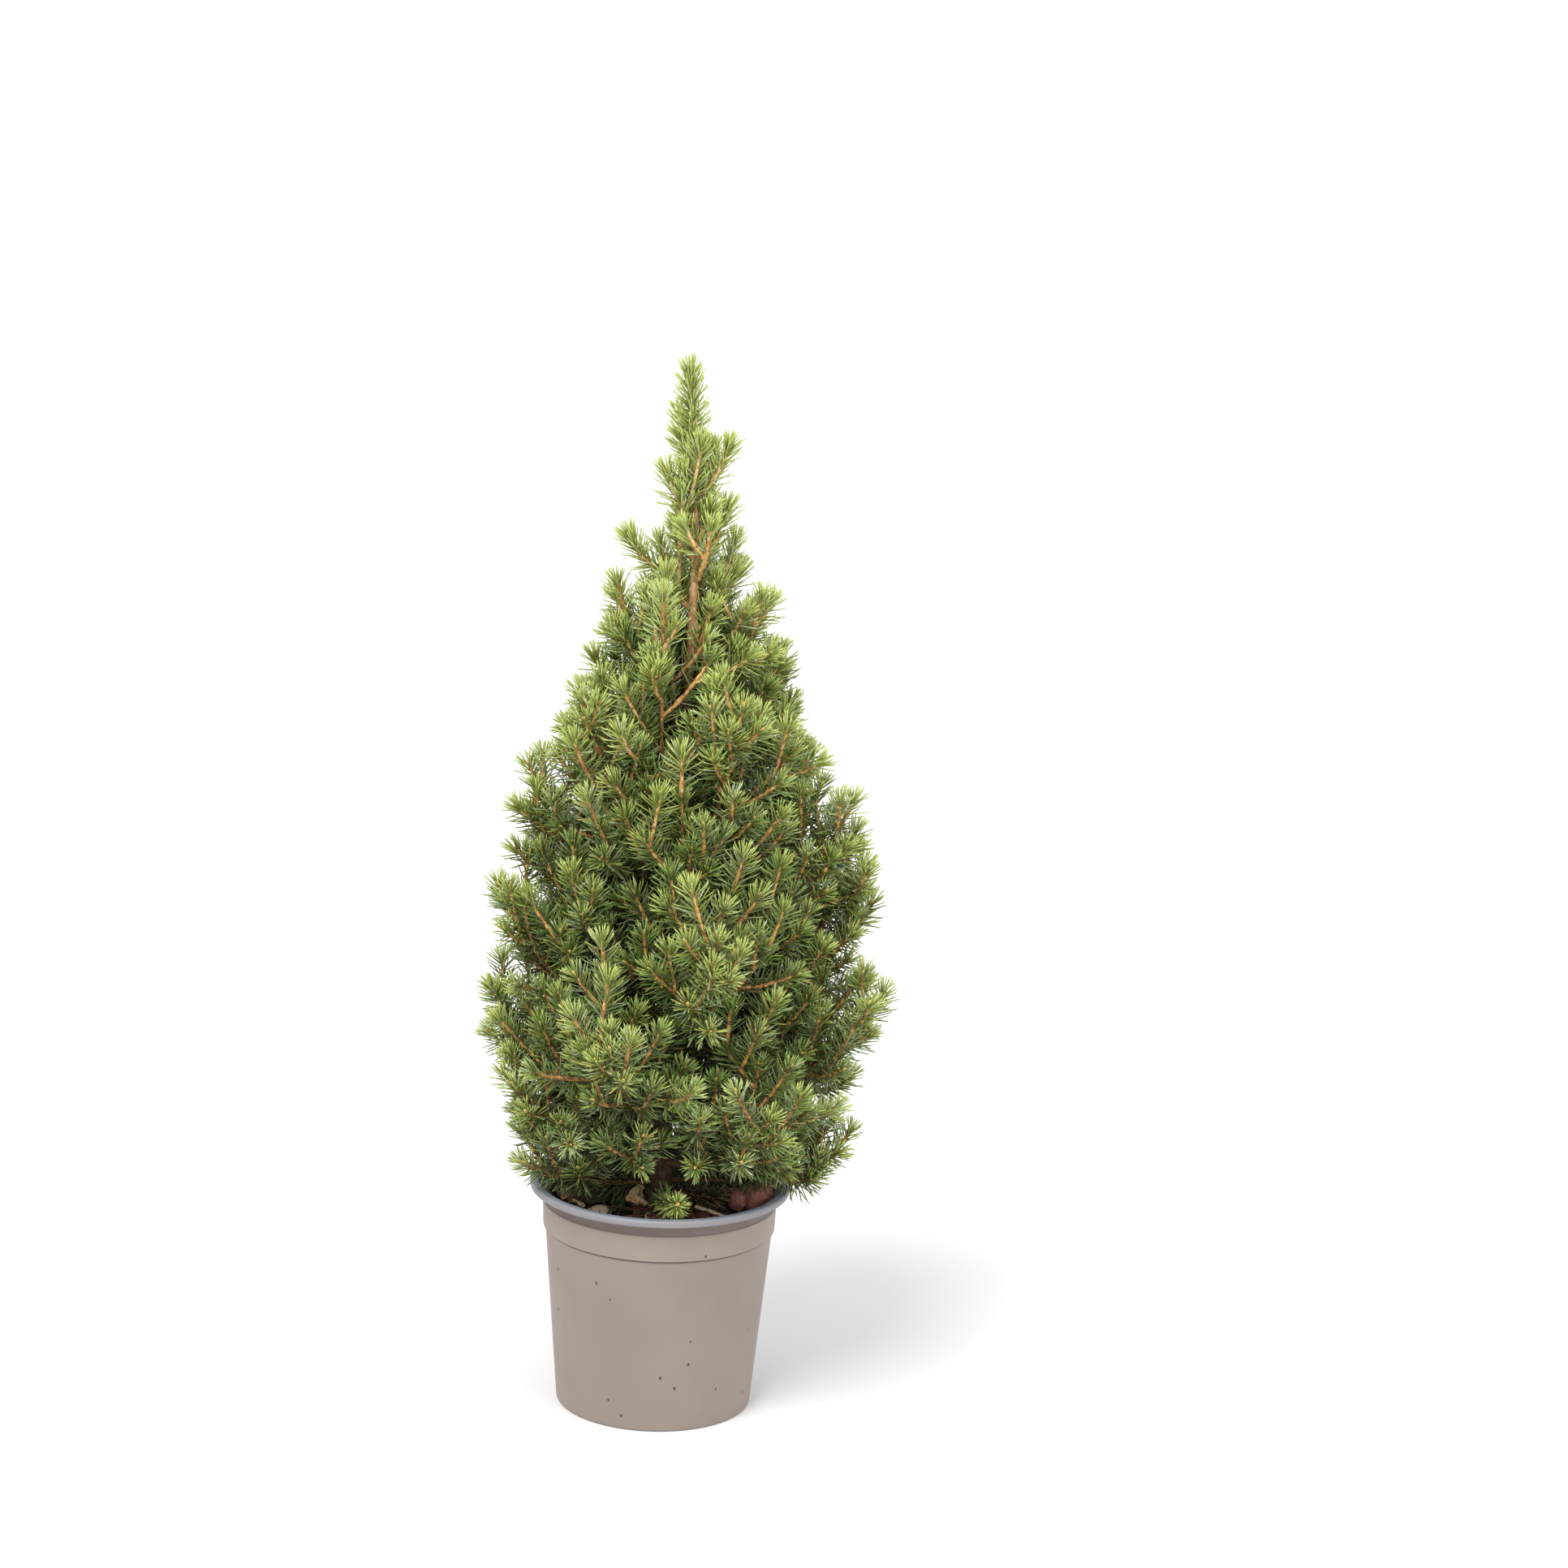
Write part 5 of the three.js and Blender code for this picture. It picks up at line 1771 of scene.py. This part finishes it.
def studio_floor():
    select_only()
    bpy.ops.mesh.primitive_circle_add(vertices=96, radius=150, fill_type="NGON", location=(0, 0, 0))
    floor = active_piece("studio_floor")
    material, tree, shader, place = patterned_finish("floor_paper", 0.2)
    tints = [(0.3, (0.72, 0.72, 0.73)), (0.7, (0.76, 0.76, 0.77))]
    tree.links.new(ramp(tree, tints, noise(tree, place, 3, 2)), shader.inputs["Base Color"])
    shader.inputs["Roughness"].default_value = 0.75
    floor.data.materials.append(material)


def sun(name, strength, spread_deg, azimuth, elevation, colour):
    light = bpy.data.lights.new(name, "SUN")
    light.energy = strength
    light.angle = math.radians(spread_deg)
    light.color = colour
    lamp = bpy.data.objects.new(name, light)
    a, e = math.radians(azimuth), math.radians(elevation)
    towards = Vector((math.sin(a) * math.cos(e), -math.cos(a) * math.cos(e), math.sin(e)))
    lamp.rotation_euler = towards.to_track_quat("Z", "Y").to_euler()
    bpy.context.scene.collection.objects.link(lamp)


def studio_light():
    world = bpy.context.scene.world or bpy.data.worlds.new("studio")
    bpy.context.scene.world = world
    world.use_nodes = True
    background = world.node_tree.nodes["Background"]
    background.inputs["Color"].default_value = (1.0, 1.0, 1.0, 1)
    background.inputs["Strength"].default_value = 1.0
    sun("key", 2.3, 28, -28, 52, (1.0, 0.99, 0.97))
    sun("fill", 0.8, 45, 48, 28, (0.97, 0.98, 1.0))
    bpy.context.scene.view_settings.view_transform = "Standard"


CAMERA_PLACE = (53.3, -1822.4, 720.9)
CAMERA_PITCH = 12.4065
CAMERA_ROLL = 2.4465
FOCAL_PIXELS = 4701.1
FRAME_PIXELS = 1932
SENSOR_WIDTH = 36
FARTHEST = 200


def studio_camera():
    """The camera at the photograph's viewing angle: it looks along +Y, tipped down and rolled."""
    camera = bpy.data.cameras.new("camera")
    camera.sensor_width = SENSOR_WIDTH
    camera.lens = FOCAL_PIXELS / FRAME_PIXELS * SENSOR_WIDTH
    camera.clip_end = FARTHEST
    eye = bpy.data.objects.new("camera", camera)
    pitch, roll = math.radians(CAMERA_PITCH), math.radians(CAMERA_ROLL)
    level = Vector((1, 0, 0))
    high = Vector((0, math.sin(pitch), math.cos(pitch)))
    right = level * math.cos(roll) + high * math.sin(roll)
    top = high * math.cos(roll) - level * math.sin(roll)
    back = right.cross(top)
    turn = Matrix((right, top, back)).transposed()
    eye.matrix_world = Matrix.Translation(Vector(CAMERA_PLACE) * MM) @ turn.to_4x4()
    bpy.context.scene.collection.objects.link(eye)
    bpy.context.scene.camera = eye


studio_floor()
studio_light()
studio_camera()
bpy.context.view_layer.update()
